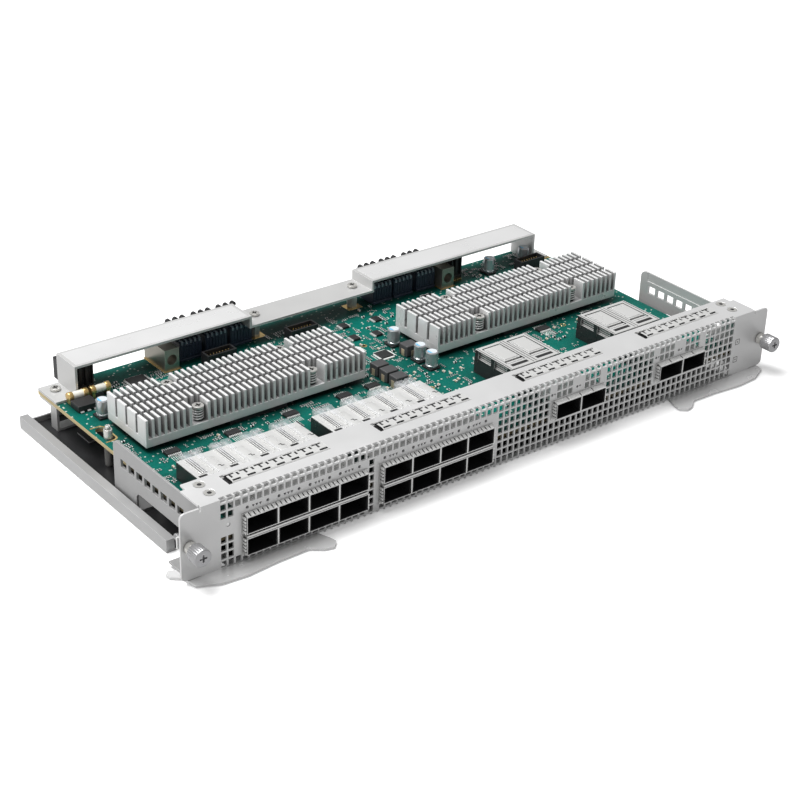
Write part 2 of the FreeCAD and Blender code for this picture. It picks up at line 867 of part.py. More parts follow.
def heat_sink(centre):
    """Cross-cut fin block on a thick base, with clearings round its four screws."""
    x0 = across(centre) - sink_width / 2
    y0 = sink_front
    base_top = sink_base_bottom + sink_base
    base = box(x0, x0 + sink_width, y0, y0 + sink_depth, sink_base_bottom, base_top)
    places = sink_screw_places(centre)
    fin_length = (sink_depth - (fin_rows - 1) * fin_row_gap) / fin_rows
    pitch = (sink_width - fin_thickness) / (fin_columns - 1)
    fins = []
    for column in range(fin_columns):
        x = x0 + column * pitch
        for row in range(fin_rows):
            y = y0 + row * (fin_length + fin_row_gap)
            if is_clear_of(places, x + fin_thickness / 2, y, y + fin_length):
                fins.append(box(x, x + fin_thickness, y, y + fin_length, base_top, sink_top))
    return base.fuse(fins)


def is_clear_of(places, x, y0, y1):
    for screw_x, screw_y in places:
        reach = screw_clearing + fin_thickness / 2
        if abs(x - screw_x) < reach and y0 - screw_clearing < screw_y < y1 + screw_clearing:
            return False
    return True


def spring_screws(centre):
    """Sprung screws that press a heat sink down, each spring closed up round its screw."""
    low = sink_base_bottom + sink_base
    seat = low + spring_height
    screws = []
    for x, y in sink_screw_places(centre):
        spring = small_round(spring_radius, x, y, low, seat)
        screws.append(spring.fuse(small_round(sink_screw_head_radius, x, y, seat, seat + sink_screw_head_height)))
    return screws


def processor(centre):
    x = across(centre)
    y = sink_front + sink_depth / 2
    size = chip_size / 2
    return box(x - size, x + size, y - size, y + size, board_top, sink_base_bottom)


# Rear

def rear_stiffener():
    """One bent bar: a foot, a raised cover, a low strip, a raised cover and a foot."""
    t = bar_sheet
    left = across(bar_left)
    left_end = across(bar_left_end)
    right_start = across(bar_right_start)
    right = across(bar_right)
    foot = board_top
    outline = [(left - foot_length, foot), (left + t, foot), (left + t, bar_top - t), (left_end - t, bar_top - t),
               (left_end - t, strip_level - t), (right_start + t, strip_level - t), (right_start + t, bar_top - t),
               (right - t, bar_top - t), (right - t, foot), (right + foot_length, foot),
               (right + foot_length, foot + t), (right, foot + t), (right, bar_top), (right_start, bar_top),
               (right_start, strip_level), (left_end, strip_level), (left_end, bar_top), (left, bar_top),
               (left, foot + t), (left - foot_length, foot + t)]
    bar = front_profile(outline, bar_front, bar_back)
    holes = [small_round(screw_radius, side * (half - foot_screw_x), foot_screw_y, foot - 1, foot + t + 1)
             for side in (-1, 1)]
    holes += [small_round(screw_radius, across(x), post_y, strip_level - t - 1, strip_level + 1)
              for x in (post_left_x, post_right_x)]
    return bar.cut(Part.makeCompound(holes))


def backplane_module(left):
    """High-speed socket: a low grooved front, a tall rear block and a toothed back edge."""
    x0 = across(left)
    x1 = x0 + module_width
    front = box(x0, x1, module_front, module_back, board_top, module_low)
    grooves = []
    for index in range(1, module_grooves + 1):
        x = x0 + index * module_width / (module_grooves + 1)
        grooves.append(box(x - module_groove / 2, x + module_groove / 2, module_front - 1, module_front + module_groove,
                           board_top + module_groove_bottom, module_low + 1))
    front = front.cut(Part.makeCompound(grooves))
    cover_end = across(bar_left_end) - bar_sheet - module_gap
    tall_end = cover_end if x0 < cover_end < x1 else x1
    pieces = [front, box(x0, tall_end, module_step, module_back, module_low, module_high)]
    for index in range(module_teeth):
        x = x0 + (index + 0.5) * module_width / module_teeth - tooth_width / 2
        pieces.append(box(x, x + tooth_width, module_back, module_back + tooth_rise, board_top, module_low))
    return joined(pieces)


def guide_block(left):
    """Metal block with a round socket for the chassis's guide pin."""
    x0 = across(left)
    block = box(x0, x0 + guide_width, guide_front, guide_back, board_top, board_top + guide_height)
    bore = rod_along_y(guide_bore, x0 + guide_width / 2, board_top + guide_height / 2, guide_front - 1, guide_back + 1)
    return block.cut(bore)


def power_connector(left, width):
    """Power socket with a row of blade slots in its rear face."""
    x0 = across(left)
    body = box(x0, x0 + width, power_front, power_back, board_top, board_top + power_height)
    count = int(width // 4)
    slots = []
    for index in range(count):
        x = x0 + (index + 0.5) * width / count
        slots.append(box(x - power_slot_width / 2, x + power_slot_width / 2, power_back - power_slot_depth,
                         power_back + 1, board_top + 3, board_top + power_height - 3))
    return body.cut(Part.makeCompound(slots))


# Parts on the board

def capacitors():
    cans = []
    places = [(middle_capacitor_x, y) for y in middle_capacitor_ys]
    for x, y in places + list(outer_capacitor_places):
        reach = capacitor_radius + 0.3
        foot = box(across(x) - reach, across(x) + reach, y - reach, y + reach, board_top, board_top + capacitor_base)
        can = small_round(capacitor_radius, across(x), y, board_top + capacitor_base, board_top + capacitor_height)
        cans.append(foot.fuse(can))
    return cans


def inductors():
    blocks = []
    places = [(inductor_x, y) for y in inductor_ys]
    for x, y in places + [(middle_capacitor_x, fourth_inductor_y)]:
        blocks.append(box(across(x) - inductor_width / 2, across(x) + inductor_width / 2,
                          y - inductor_depth / 2, y + inductor_depth / 2, board_top, board_top + inductor_height))
    return blocks


def fuses():
    """Round fuses lying along the board's rear, each in two clips."""
    found = []
    level = board_top + fuse_lift
    for left in fuse_lefts:
        x = across(left)
        corners = ring_of_corners(fuse_radius, fuse_y, level, small_round_sides)
        body = side_profile(corners, x, x + fuse_length)
        for start in (x, x + fuse_length - fuse_cap_length):
            body = body.fuse(box(start, start + fuse_cap_length, fuse_y - fuse_radius, fuse_y + fuse_radius,
                                 board_top, level))
        found.append(body)
    return found


def relay():
    x = across(relay_left)
    return box(x, x + relay_width, relay_front, relay_front + relay_depth, board_top, board_top + relay_height)


def pin_headers():
    """Open-topped plug shrouds."""
    shrouds = []
    for left in header_lefts:
        x = across(left)
        body = box(x, x + header_width, header_front, header_front + header_depth, board_top, board_top + header_height)
        room = box(x + header_wall, x + header_width - header_wall, header_front + header_wall,
                   header_front + header_depth - header_wall, board_top + header_floor, board_top + header_height + 1)
        shrouds.append(body.cut(room))
    return shrouds


def build():
    os.makedirs("parts", exist_ok=True)
    low_row = board_bottom - cage_height
    save("faceplate", faceplate())
    save("base_tray", base_tray())
    bracket = side_bracket()
    save("side_bracket_left", bracket)
    save("side_bracket_right", mirrored(bracket))
    save("main_board", main_board())
    save("rear_stiffener", rear_stiffener())
    save("stiffener_posts", *stiffener_posts())
    save("board_standoffs", *board_standoffs())
    save("rear_legs", *both_sides(rear_leg()))
    save("stiffener_screws", *stiffener_screws())
    save("flange_screws", *flange_screws())
    save("guide_post", guide_post())
    save("processors", processor(sink_left_x), processor(sink_right_x))
    save("heat_sink_left", heat_sink(sink_left_x))
    save("heat_sink_right", heat_sink(sink_right_x))
    save("heat_sink_screws", *(spring_screws(sink_left_x) + spring_screws(sink_right_x)))
    save("cage_a_upper", cage("a", board_top, cage_ab_depth))
    save("cage_a_lower", cage("a", low_row, cage_ab_depth))
    save("cage_b_upper", cage("b", board_top, cage_ab_depth))
    save("cage_b_lower", cage("b", low_row, cage_ab_depth))
    save("cage_c", cage("c", board_top, cage_cd_depth))
    save("cage_d", cage("d", board_top, cage_cd_depth))
    save("collar_a", collar("a", (low_row, board_top)))
    save("collar_b", collar("b", (low_row, board_top)))
    save("collar_c", collar("c", (board_top,)))
    save("collar_d", collar("d", (board_top,)))
    sockets = []
    for block in ("a", "b"):
        sockets += module_sockets(block, board_top, cage_ab_depth)
        sockets += module_sockets(block, low_row, cage_ab_depth)
        save("light_pipes_" + block, *light_pipes(block))
    for block in ("c", "d"):
        sockets += module_sockets(block, board_top, cage_cd_depth)
        save("riding_heat_sinks_" + block, *riders(block))
        save("heat_sink_clip_" + block, rider_clip(block))
    save("module_sockets", *sockets)
    save("lamps", *lamps())
    for index, left in enumerate(strip_lefts):
        save("contact_strip_%d" % (index + 1), spring_strip(left))
    left_lever = lever()
    save("ejector_left", left_lever)
    save("ejector_right", mirrored(left_lever))
    save("ejector_rivets", *both_sides(pivot_rivet()))
    save("captive_ferrules", *both_sides(ferrule()))
    left_knob = knob()
    save("captive_knob_left", left_knob)
    save("captive_knob_right", mirrored(left_knob))
    left_clip = retaining_clip()
    save("captive_clip_left", left_clip)
    save("captive_clip_right", mirrored(left_clip))
    save("backplane_sockets_left", *[backplane_module(x) for x in modules_left])
    save("backplane_sockets_right", *[backplane_module(x) for x in modules_right])
    save("guide_block_left", guide_block(guide_left_x))
    save("guide_block_right", guide_block(guide_right_x))
    save("power_socket_left", power_connector(power_left_x, power_left_width))
    save("power_socket_right", power_connector(power_right_x, power_right_width))
    save("capacitors", *capacitors())
    save("inductors", *inductors())
    save("fuses", *fuses())
    save("relay", relay())
    save("pin_headers", *pin_headers())


build()
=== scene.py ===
# %% [markdown]
# # A switch line card, from bare solids to a studio picture
#
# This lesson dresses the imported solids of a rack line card: a perforated faceplate with
# rows of module ports, a green board with two finned heat sinks, and connectors at the rear.
# Each step first says what it makes and why, then a code cell makes it.
# Lengths in the cells are in millimetres and turn into metres where a piece is placed.

# %% Load the frame
import bpy
import math
import random
from mathutils import Matrix, Vector


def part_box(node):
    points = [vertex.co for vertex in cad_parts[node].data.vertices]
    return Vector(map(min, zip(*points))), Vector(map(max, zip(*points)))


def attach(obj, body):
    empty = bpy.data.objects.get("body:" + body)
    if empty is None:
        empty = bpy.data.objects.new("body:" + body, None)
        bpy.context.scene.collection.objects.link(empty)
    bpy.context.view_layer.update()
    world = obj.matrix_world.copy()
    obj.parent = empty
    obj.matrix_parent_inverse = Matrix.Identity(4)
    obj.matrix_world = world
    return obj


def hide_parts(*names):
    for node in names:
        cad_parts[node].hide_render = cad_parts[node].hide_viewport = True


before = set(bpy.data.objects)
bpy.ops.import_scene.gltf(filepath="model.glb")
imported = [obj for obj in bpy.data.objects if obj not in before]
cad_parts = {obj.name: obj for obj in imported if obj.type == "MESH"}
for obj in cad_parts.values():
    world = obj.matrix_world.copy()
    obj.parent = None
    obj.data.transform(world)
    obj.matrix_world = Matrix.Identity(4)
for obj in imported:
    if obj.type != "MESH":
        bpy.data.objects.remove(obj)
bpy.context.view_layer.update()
MM = 0.001

# %% [markdown]
# ## Places
#
# Everything is placed from the faceplate: its left edge, its front face and its underside.
# `at` turns such a place into the frame's metres. `span` reads a node's box back, and
# `parts_of` reads the boxes of its separate solids.

# %% Places measured from the faceplate
panel_low, panel_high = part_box("faceplate")
corner = Vector(panel_low)
PANEL_WIDTH, FLANGE_DEPTH, PANEL_HEIGHT = (
    (high - low) / MM for low, high in zip(panel_low, panel_high))


def at(x, y, z):
    return corner + Vector((x, y, z)) * MM


def span(node):
    return [(value - start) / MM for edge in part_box(node) for value, start in zip(edge, corner)]


def face_places(node):
    """The corner places of each face of a node."""
    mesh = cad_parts[node].data
    return [[(mesh.vertices[k].co - corner) / MM for k in face.vertices] for face in mesh.polygons]


def parts_of(node, gap=0.05):
    """The boxes of a node's separate solids, left to right."""
    boxes = []
    for points in face_places(node):
        box = [min(p[i] for p in points) - gap for i in range(3)]
        box += [max(p[i] for p in points) + gap for i in range(3)]
        while True:
            touching = [other for other in boxes if all(
                box[i] <= other[i + 3] and other[i] <= box[i + 3] for i in range(3))]
            if not touching:
                break
            boxes.remove(touching[0])
            box = ([min(pair) for pair in zip(box[:3], touching[0][:3])]
                   + [max(pair) for pair in zip(box[3:], touching[0][3:])])
        boxes.append(box)
    return sorted([v + gap for v in box[:3]] + [v - gap for v in box[3:]] for box in boxes)


def middle_of(box):
    return (box[0] + box[3]) / 2, (box[1] + box[4]) / 2, (box[2] + box[5]) / 2


print("faceplate:", round(PANEL_WIDTH, 2), "x", round(PANEL_HEIGHT, 2), "mm")

# %% [markdown]
# ## Small modelling helpers
#
# A new piece starts as a primitive, is shaped by modifiers or in edit mode, and ends with its
# place in its mesh. A later helper gives it its material and lets it ride on its body.

# %% Primitives
AXES = {"X": ((0, math.pi / 2, 0), Vector((1, 0, 0))),
        "Y": ((-math.pi / 2, 0, 0), Vector((0, 1, 0))),
        "Z": ((0, 0, 0), Vector((0, 0, 1)))}


def deselect_all():
    bpy.ops.object.select_all(action="DESELECT")


def activate(piece):
    """Makes a piece the only one that the next step works on."""
    deselect_all()
    piece.select_set(True)
    bpy.context.view_layer.objects.active = piece


def settle(name):
    """Names the newest piece and works its place, turn and size into its mesh."""
    piece = bpy.context.object
    piece.name = name
    activate(piece)
    bpy.ops.object.transform_apply(location=True, rotation=True, scale=True)
    return piece


def box_piece(name, x0, x1, y0, y1, z0, z1):
    """A block between two corners."""
    deselect_all()
    bpy.ops.mesh.primitive_cube_add(size=1, location=(at(x0, y0, z0) + at(x1, y1, z1)) / 2)
    bpy.context.object.scale = Vector((x1 - x0, y1 - y0, z1 - z0)) * MM
    return settle(name)


def slab(name, x, half_x, y, half_y, z0, z1):
    """A block round an upright middle line."""
    return box_piece(name, x - half_x, x + half_x, y - half_y, y + half_y, z0, z1)


def round_piece(name, radius, x, y, z, length, axis="Z", sides=32):
    """A cylinder that starts at a place and runs along an axis."""
    deselect_all()
    turn, step = AXES[axis]
    bpy.ops.mesh.primitive_cylinder_add(
        vertices=sides, radius=radius * MM, depth=length * MM,
        location=at(x, y, z) + step * length * MM / 2, rotation=turn)
    return settle(name)


def cone_piece(name, low_radius, high_radius, depth, place):
    """A cone without its tip, round a middle place."""
    deselect_all()
    bpy.ops.mesh.primitive_cone_add(vertices=32, radius1=low_radius * MM, radius2=high_radius * MM,
                                    depth=depth * MM, location=at(*place))
    return settle(name)


# %% Joining, copying and modifiers
def modify(piece, kind, **settings):
    """Adds a modifier with its settings and applies it."""
    modifier = piece.modifiers.new("step", kind)
    for key, value in settings.items():
        setattr(modifier, key, value)
    activate(piece)
    bpy.ops.object.modifier_apply(modifier=modifier.name)
    return piece


def bevel_edges(piece, width, segments=2, angle=40):
    return modify(piece, "BEVEL", width=width * MM, segments=segments, limit_method="ANGLE",
                  angle_limit=math.radians(angle))


def repeat(piece, count, step):
    return modify(piece, "ARRAY", count=count, use_relative_offset=False,
                  use_constant_offset=True, constant_offset_displace=Vector(step) * MM)


def combine(piece, tool, operation):
    modify(piece, "BOOLEAN", operation=operation, solver="EXACT", object=tool)
    bpy.data.objects.remove(tool, do_unlink=True)
    return piece


def cut_away(piece, tool):
    return combine(piece, tool, "DIFFERENCE")


def join_pieces(name, pieces):
    activate(pieces[0])
    for piece in pieces:
        piece.select_set(True)
    if len(pieces) > 1:
        bpy.ops.object.join()
    pieces[0].name = name
    return pieces[0]


def copy_to(piece, places, origin=(0, 0, 0)):
    """Copies of a piece with its origin point moved to each place, joined to it."""
    pieces = [piece]
    for place in places[1:]:
        twin = piece.copy()
        twin.data = piece.data.copy()
        twin.data.transform(Matrix.Translation(at(*place) - at(*origin)))
        bpy.context.collection.objects.link(twin)
        pieces.append(twin)
    piece.data.transform(Matrix.Translation(at(*places[0]) - at(*origin)))
    return join_pieces(piece.name, pieces)


def smooth(piece, angle=35):
    activate(piece)
    bpy.ops.object.shade_smooth_by_angle(angle=math.radians(angle))
    return piece


# %% Shaping in edit mode
def edit_chosen(piece, kind, is_chosen, action, **settings):
    """Selects the elements of one kind that pass a test and runs an edit step on them."""
    activate(piece)
    bpy.ops.object.mode_set(mode="EDIT")
    bpy.ops.mesh.select_mode(type=kind)
    bpy.ops.mesh.select_all(action="DESELECT")
    bpy.ops.object.mode_set(mode="OBJECT")
    mesh = piece.data
    for element in {"VERT": mesh.vertices, "EDGE": mesh.edges, "FACE": mesh.polygons}[kind]:
        element.select = is_chosen(element)
    bpy.ops.object.mode_set(mode="EDIT")
    action(**settings)
    bpy.ops.mesh.select_mode(type="VERT")
    bpy.ops.object.mode_set(mode="OBJECT")
    return piece


def delete_parts(piece, is_gone):
    """Deletes the loose blocks of eight corners whose middle passes a test."""
    vertices = piece.data.vertices
    gone = set()
    for first in range(0, len(vertices), 8):
        middle = sum((vertices[first + k].co for k in range(8)), Vector()) / 8
        if is_gone(*((middle - corner) / MM)):
            gone.update(range(first, first + 8))
    return edit_chosen(piece, "VERT", lambda vertex: vertex.index in gone,
                       bpy.ops.mesh.delete, type="VERT")


# %% [markdown]
# ## Shader groups
#
# Three effects are shared by many materials, so each is a node group with named sockets:
# brushed grain, cloudy smudges and painted highlights on the edges. A group gives out values
# only. The Principled shader stays in each material.

# %% Shader helpers
def feed(tree, slot, value):
    """Gives an input socket a number, a vector, a colour or a link."""
    if isinstance(value, tuple) and slot.type == "RGBA":
        slot.default_value = (*value, 1.0)
    elif isinstance(value, (int, float, tuple)):
        slot.default_value = value
    else:
        tree.links.new(value, slot)


def feed_all(tree, node, values):
    for key, value in values.items():
        feed(tree, node.inputs[key], value)


def add_node(tree, kind, values=None, **settings):
    node = tree.nodes.new(kind)
    for key, value in settings.items():
        setattr(node, key, value)
    feed_all(tree, node, values or {})
    return node


def add_math(tree, operation, *values):
    node = add_node(tree, "ShaderNodeMath", dict(enumerate(values)), operation=operation)
    return node.outputs[0]


def mix_colours(tree, factor, first, second):
    node = add_node(tree, "ShaderNodeMix", {0: factor, 6: first, 7: second}, data_type="RGBA")
    return node.outputs[2]


def object_place(tree):
    return add_node(tree, "ShaderNodeTexCoord").outputs["Object"]


def facing_part(tree, axis):
    """How much a face looks along an axis, from -1 to 1."""
    surface = add_node(tree, "ShaderNodeNewGeometry")
    split = add_node(tree, "ShaderNodeSeparateXYZ", {0: surface.outputs["Normal"]})
    return split.outputs[axis]


def new_group(name, inputs, outputs):
    """An empty group, with the sockets that it is given and those that it fills."""
    tree = bpy.data.node_groups.new(name, "ShaderNodeTree")
    for label, value in inputs.items():
        kind = "NodeSocketVector" if isinstance(value, tuple) else "NodeSocketFloat"
        socket = tree.interface.new_socket(name=label, in_out="INPUT", socket_type=kind)
        socket.default_value = value
    for label in outputs:
        tree.interface.new_socket(name=label, in_out="OUTPUT", socket_type="NodeSocketFloat")
    given = tree.nodes.new("NodeGroupInput").outputs
    return tree, given, tree.nodes.new("NodeGroupOutput").inputs


def use_group(tree, group, **values):
    return add_node(tree, "ShaderNodeGroup", values, node_tree=group).outputs


# %% Brushed grain
def make_brushed_grain():
    tree, given, result = new_group(
        "Brushed grain", {"Scale": 900.0, "Stretch": (0.02, 1.0, 1.0)}, ["Height"])
    stretched = add_node(tree, "ShaderNodeVectorMath",
                         {0: object_place(tree), 1: given["Stretch"]}, operation="MULTIPLY")
    noise = add_node(tree, "ShaderNodeTexNoise", {
        "Vector": stretched.outputs[0], "Scale": given["Scale"], "Detail": 3.0})
    feed(tree, result["Height"], noise.outputs["Fac"])
    return tree


# %% Cloudy smudges
def make_smudges():
    tree, given, result = new_group(
        "Cloudy smudges", {"Scale": 30.0, "Low": 0.0, "High": 1.0}, ["Value"])
    noise = add_node(tree, "ShaderNodeTexNoise", {
        "Vector": object_place(tree), "Scale": given["Scale"], "Detail": 4.0})
    ranged = add_node(tree, "ShaderNodeMapRange", {
        "Value": noise.outputs["Fac"], "From Min": 0.3, "From Max": 0.7,
        "To Min": given["Low"], "To Max": given["High"]})
    feed(tree, result["Value"], ranged.outputs["Result"])
    return tree


# %% Painted edge highlights
def make_edge_highlights():
    tree, given, result = new_group("Painted edge highlights", {"Radius": 0.0004}, ["Mask"])
    rounded = add_node(tree, "ShaderNodeBevel", {"Radius": given["Radius"]}, samples=4)
    surface = add_node(tree, "ShaderNodeNewGeometry")
    facing = add_node(tree, "ShaderNodeVectorMath", {
        0: rounded.outputs["Normal"], 1: surface.outputs["Normal"]}, operation="DOT_PRODUCT")
    ranged = add_node(tree, "ShaderNodeMapRange", {
        "Value": facing.outputs["Value"], "From Min": 0.99, "From Max": 0.8})
    feed(tree, result["Mask"], ranged.outputs["Result"])
    return tree


GRAIN = make_brushed_grain()
SMUDGES = make_smudges()
EDGES = make_edge_highlights()
print("shader groups:", [group.name for group in bpy.data.node_groups])

# %% [markdown]
# ## Materials
#
# One builder makes the plain families: sheet metal, plated metal, plastic and ceramic.
# It paints a lighter highlight at the edges, varies the roughness with smudges and adds a bump.

# %% The common material builder
EVEN = (1.0, 1.0, 1.0)
ALONG_X = (0.03, 1.0, 1.0)
ALONG_Y = (1.0, 0.03, 1.0)
ALONG_Z = (1.0, 1.0, 0.05)
EDGE_RADIUS = 0.0004
BUMP_DEPTH = 0.0002
SHADE = 0.86


def grey(level):
    return (level, level, level)


def new_material(name):
    material = bpy.data.materials.new(name)
    material.use_nodes = True
    return material, material.node_tree, material.node_tree.nodes["Principled BSDF"]


def make_material(name, colour, highlight_colour, metallic, roughness, grain=0.1, stretch=EVEN,
                  grain_scale=900.0, variation=0.08):
    material, tree, shader = new_material(name)
    shine = use_group(tree, SMUDGES, Scale=45.0, Low=roughness - variation,
                      High=roughness + variation)
    tone = use_group(tree, SMUDGES, Scale=18.0, Low=0.0, High=0.35)
    # Painted highlight: a lighter colour mixed in along the edges.
    edge = use_group(tree, EDGES, Radius=EDGE_RADIUS)
    darker = tuple(channel * SHADE for channel in colour)
    base = mix_colours(tree, tone["Value"], colour, darker)
    texture = use_group(tree, GRAIN, Scale=grain_scale, Stretch=stretch)
    bump = add_node(tree, "ShaderNodeBump", {
        "Strength": grain, "Distance": BUMP_DEPTH, "Height": texture["Height"]})
    feed_all(tree, shader, {
        "Metallic": metallic, "Roughness": shine["Value"], "Normal": bump.outputs["Normal"],
        "Base Color": mix_colours(tree, edge["Mask"], base, highlight_colour)})
    return material


# %% Metals
PLATE = make_material("Faceplate metal", grey(0.69), grey(0.92), 0.40, 0.36, 0.10, ALONG_X)
STEEL = make_material("Bare steel", (0.60, 0.60, 0.595), grey(0.90), 0.40, 0.38, 0.12, ALONG_X)
# Painted shade: the left bracket's steel is darker than the right bracket's bare steel.
SHADED_BRACKET = make_material("Bracket steel in painted shade", grey(0.40), grey(0.75), 0.5, 0.38, 0.12, ALONG_X)
TRAY = make_material("Tray steel", grey(0.50), grey(0.80), 0.6, 0.36, 0.10, ALONG_Y)
LEVER = make_material("Lever metal", grey(0.77), grey(1.0), 0.35, 0.24, 0.08)
FINS = make_material("Fin metal", grey(0.84), grey(1.0), 0.35, 0.34, 0.15, ALONG_Z)
KNOB = make_material("Knob metal", (0.44, 0.44, 0.45), grey(0.9), 0.8, 0.3, 0.1, ALONG_X,
                     250.0, 0.05)
SCREW = make_material("Plated screw", (0.70, 0.69, 0.66), (0.95, 0.95, 0.93), 0.7, 0.26, 0.05)
SPRING = make_material("Contact spring", (0.80, 0.80, 0.79), grey(1.0), 0.45, 0.28, 0.05)
WIRE = make_material("Spring wire", (0.86, 0.86, 0.85), grey(1.0), 0.35, 0.22, 0.03)
# Painted shade: the shank is near black so the gaps between the spring's coils look dark.
SHADED_SHANK = make_material("Shank in painted coil shade", (0.012, 0.012, 0.013), grey(0.05), 0.3, 0.4, 0.05)
CAGE = make_material("Cage metal", (0.74, 0.74, 0.73), grey(0.92), 0.75, 0.30, 0.08)
LID = make_material("Stamped lid", (0.68, 0.68, 0.67), grey(1.0), 0.35, 0.30, 0.02)
CLIP = make_material("Clip metal", (0.70, 0.70, 0.69), grey(1.0), 0.4, 0.30, 0.03)
CAN = make_material("Can metal", (0.52, 0.53, 0.55), (0.92, 0.93, 0.95), 0.7, 0.25, 0.04)
GUIDE = make_material("Guide metal", (0.40, 0.38, 0.33), (0.8, 0.78, 0.70), 0.85, 0.3, 0.1)
GOLD = make_material("Gold plate", (0.83, 0.60, 0.25), (1.0, 0.85, 0.5), 0.9, 0.25, 0.03)
BRASS = make_material("Brass", (0.72, 0.50, 0.20), (0.95, 0.78, 0.45), 0.9, 0.3, 0.05)
TIN = make_material("Tinned ends", (0.88, 0.88, 0.86), grey(1.0), 0.25, 0.3, 0.04)

# %% Plastics and ceramics
BLACK = make_material("Black plastic", (0.012, 0.012, 0.013), (0.05, 0.05, 0.052), 0.0, 0.45, 0.25)
NAVY = make_material("Navy plastic", (0.018, 0.028, 0.048), (0.07, 0.09, 0.13), 0.0, 0.42, 0.2)
CHIP = make_material("Chip black", (0.014, 0.014, 0.015), grey(0.05), 0.0, 0.5, 0.3)
CERAMIC = make_material("Ceramic", (0.78, 0.76, 0.68), (0.9, 0.88, 0.82), 0.0, 0.3, 0.05)
WHITE = make_material("White plastic", (0.80, 0.80, 0.77), (0.9, 0.9, 0.88), 0.0, 0.4, 0.1)
SMOKE = make_material("Smoked lens", (0.05, 0.05, 0.055), grey(0.3), 0.0, 0.2, 0.02)
LENS = make_material("Lamp lens", grey(1.0), grey(1.0), 0.0, 0.18, 0.02)
print("materials:", len(bpy.data.materials))

# %% [markdown]
# ## Painted shade in cavities
#
# The cages are bright outside and near black inside, and that dark is painted shade: an ambient
# occlusion node tells how closed in a point is, and the metal's colour is drawn down with it. Some
# faces also go by the way they look: the cages' cheeks and the tray's floor get painted shade.

# %% Paint shade into closed-in metal
CAVITY_SHADE = grey(0.004)
TRAY_FLOOR_SHADE = (0.035, 0.035, 0.037)
CLIP_CHEEK_SHADE = (0.035, 0.035, 0.036)
CAGE_CHEEK_SHADE = grey(0.09)


def recolour(material, build):
    """Puts what `build` makes of a material's base colour in its place."""
    tree = material.node_tree
    slot = tree.nodes["Principled BSDF"].inputs["Base Color"]
    tree.links.new(build(tree, slot.links[0].from_socket), slot)


def paint_cavity_shade(material, reach, power, only_own=False):
    """Paints shade: draws closed-in places down to black; `only_own` leaves out what other pieces
    cover.
    """
    def build(tree, source):
        closed = add_node(tree, "ShaderNodeAmbientOcclusion", {"Distance": reach}, samples=6,
                          only_local=only_own)
        factor = add_math(tree, "POWER", closed.outputs["AO"], power)
        return mix_colours(tree, factor, CAVITY_SHADE, source)

    recolour(material, build)


def paint_cheek_shade(material, colour):
    """Paints shade: draws the faces that look left or right towards a darker colour."""
    def build(tree, source):
        sideways = add_math(tree, "ABSOLUTE", facing_part(tree, "X"))
        return mix_colours(tree, add_math(tree, "GREATER_THAN", sideways, 0.6), source, colour)

    recolour(material, build)


def paint_floor_shade(material, level):
    """Paints shade: draws upward faces below a height down to near black, the shade on the tray
    floor.
    """
    def build(tree, source):
        position = add_node(tree, "ShaderNodeSeparateXYZ", {0: object_place(tree)})
        low = add_math(tree, "LESS_THAN", position.outputs["Z"], level)
        upward = add_math(tree, "GREATER_THAN", facing_part(tree, "Z"), 0.5)
        return mix_colours(tree, add_math(tree, "MULTIPLY", low, upward), source, TRAY_FLOOR_SHADE)

    recolour(material, build)


# Painted shade: each of these is drawn darker where it is closed in.
paint_cavity_shade(CAGE, 0.006, 1.2)
paint_cavity_shade(FINS, 0.006, 0.75)
paint_cavity_shade(SPRING, 0.003, 1.0)
paint_cavity_shade(SCREW, 0.0015, 1.2)
paint_cavity_shade(LID, 0.0015, 1.5, only_own=True)
paint_cavity_shade(CLIP, 0.0015, 1.6)
paint_cavity_shade(WIRE, 0.0012, 1.8)
# Painted shade on the sideways faces of the clips and cages.
paint_cheek_shade(CLIP, CLIP_CHEEK_SHADE)
paint_cheek_shade(CAGE, CAGE_CHEEK_SHADE)
# Painted shade on the tray's floor.
paint_floor_shade(TRAY, at(0, 0, 3.0).z)

# %% [markdown]
# ## The green board
#
# The board's solder mask is a green with darker and lighter patches where copper lies under it,
# thin lines of tracks and small tinned pads. Its cut edge shows the tan fibre.

# %% The board's own group and material
DARK_FIELD = (0.001, 0.066, 0.051)
PALE_FIELD = (0.002, 0.115, 0.090)
TRACK = (0.006, 0.21, 0.165)
PAD = (0.62, 0.66, 0.60)
FIBRE = (0.68, 0.56, 0.32)


def make_tracks():
    tree, given, result = new_group("Board tracks", {"Scale": 300.0}, ["Tracks", "Pads", "Fields"])
    place = object_place(tree)
    cells, fields = (
        add_node(tree, "ShaderNodeTexVoronoi", {"Vector": place, "Scale": scale},
                 distance="CHEBYCHEV", feature="F1") for scale in (given["Scale"], 60.0))
    waves = add_node(tree, "ShaderNodeTexWave", {
        "Vector": place, "Scale": 330.0, "Distortion": 1.5},
        wave_type="BANDS", bands_direction="DIAGONAL")
    feed(tree, result["Tracks"], add_math(tree, "GREATER_THAN", waves.outputs["Fac"], 0.78))
    feed(tree, result["Pads"], add_math(tree, "LESS_THAN", cells.outputs["Distance"], 0.15))
    feed(tree, result["Fields"], fields.outputs["Color"])
    return tree


TRACKS = make_tracks()


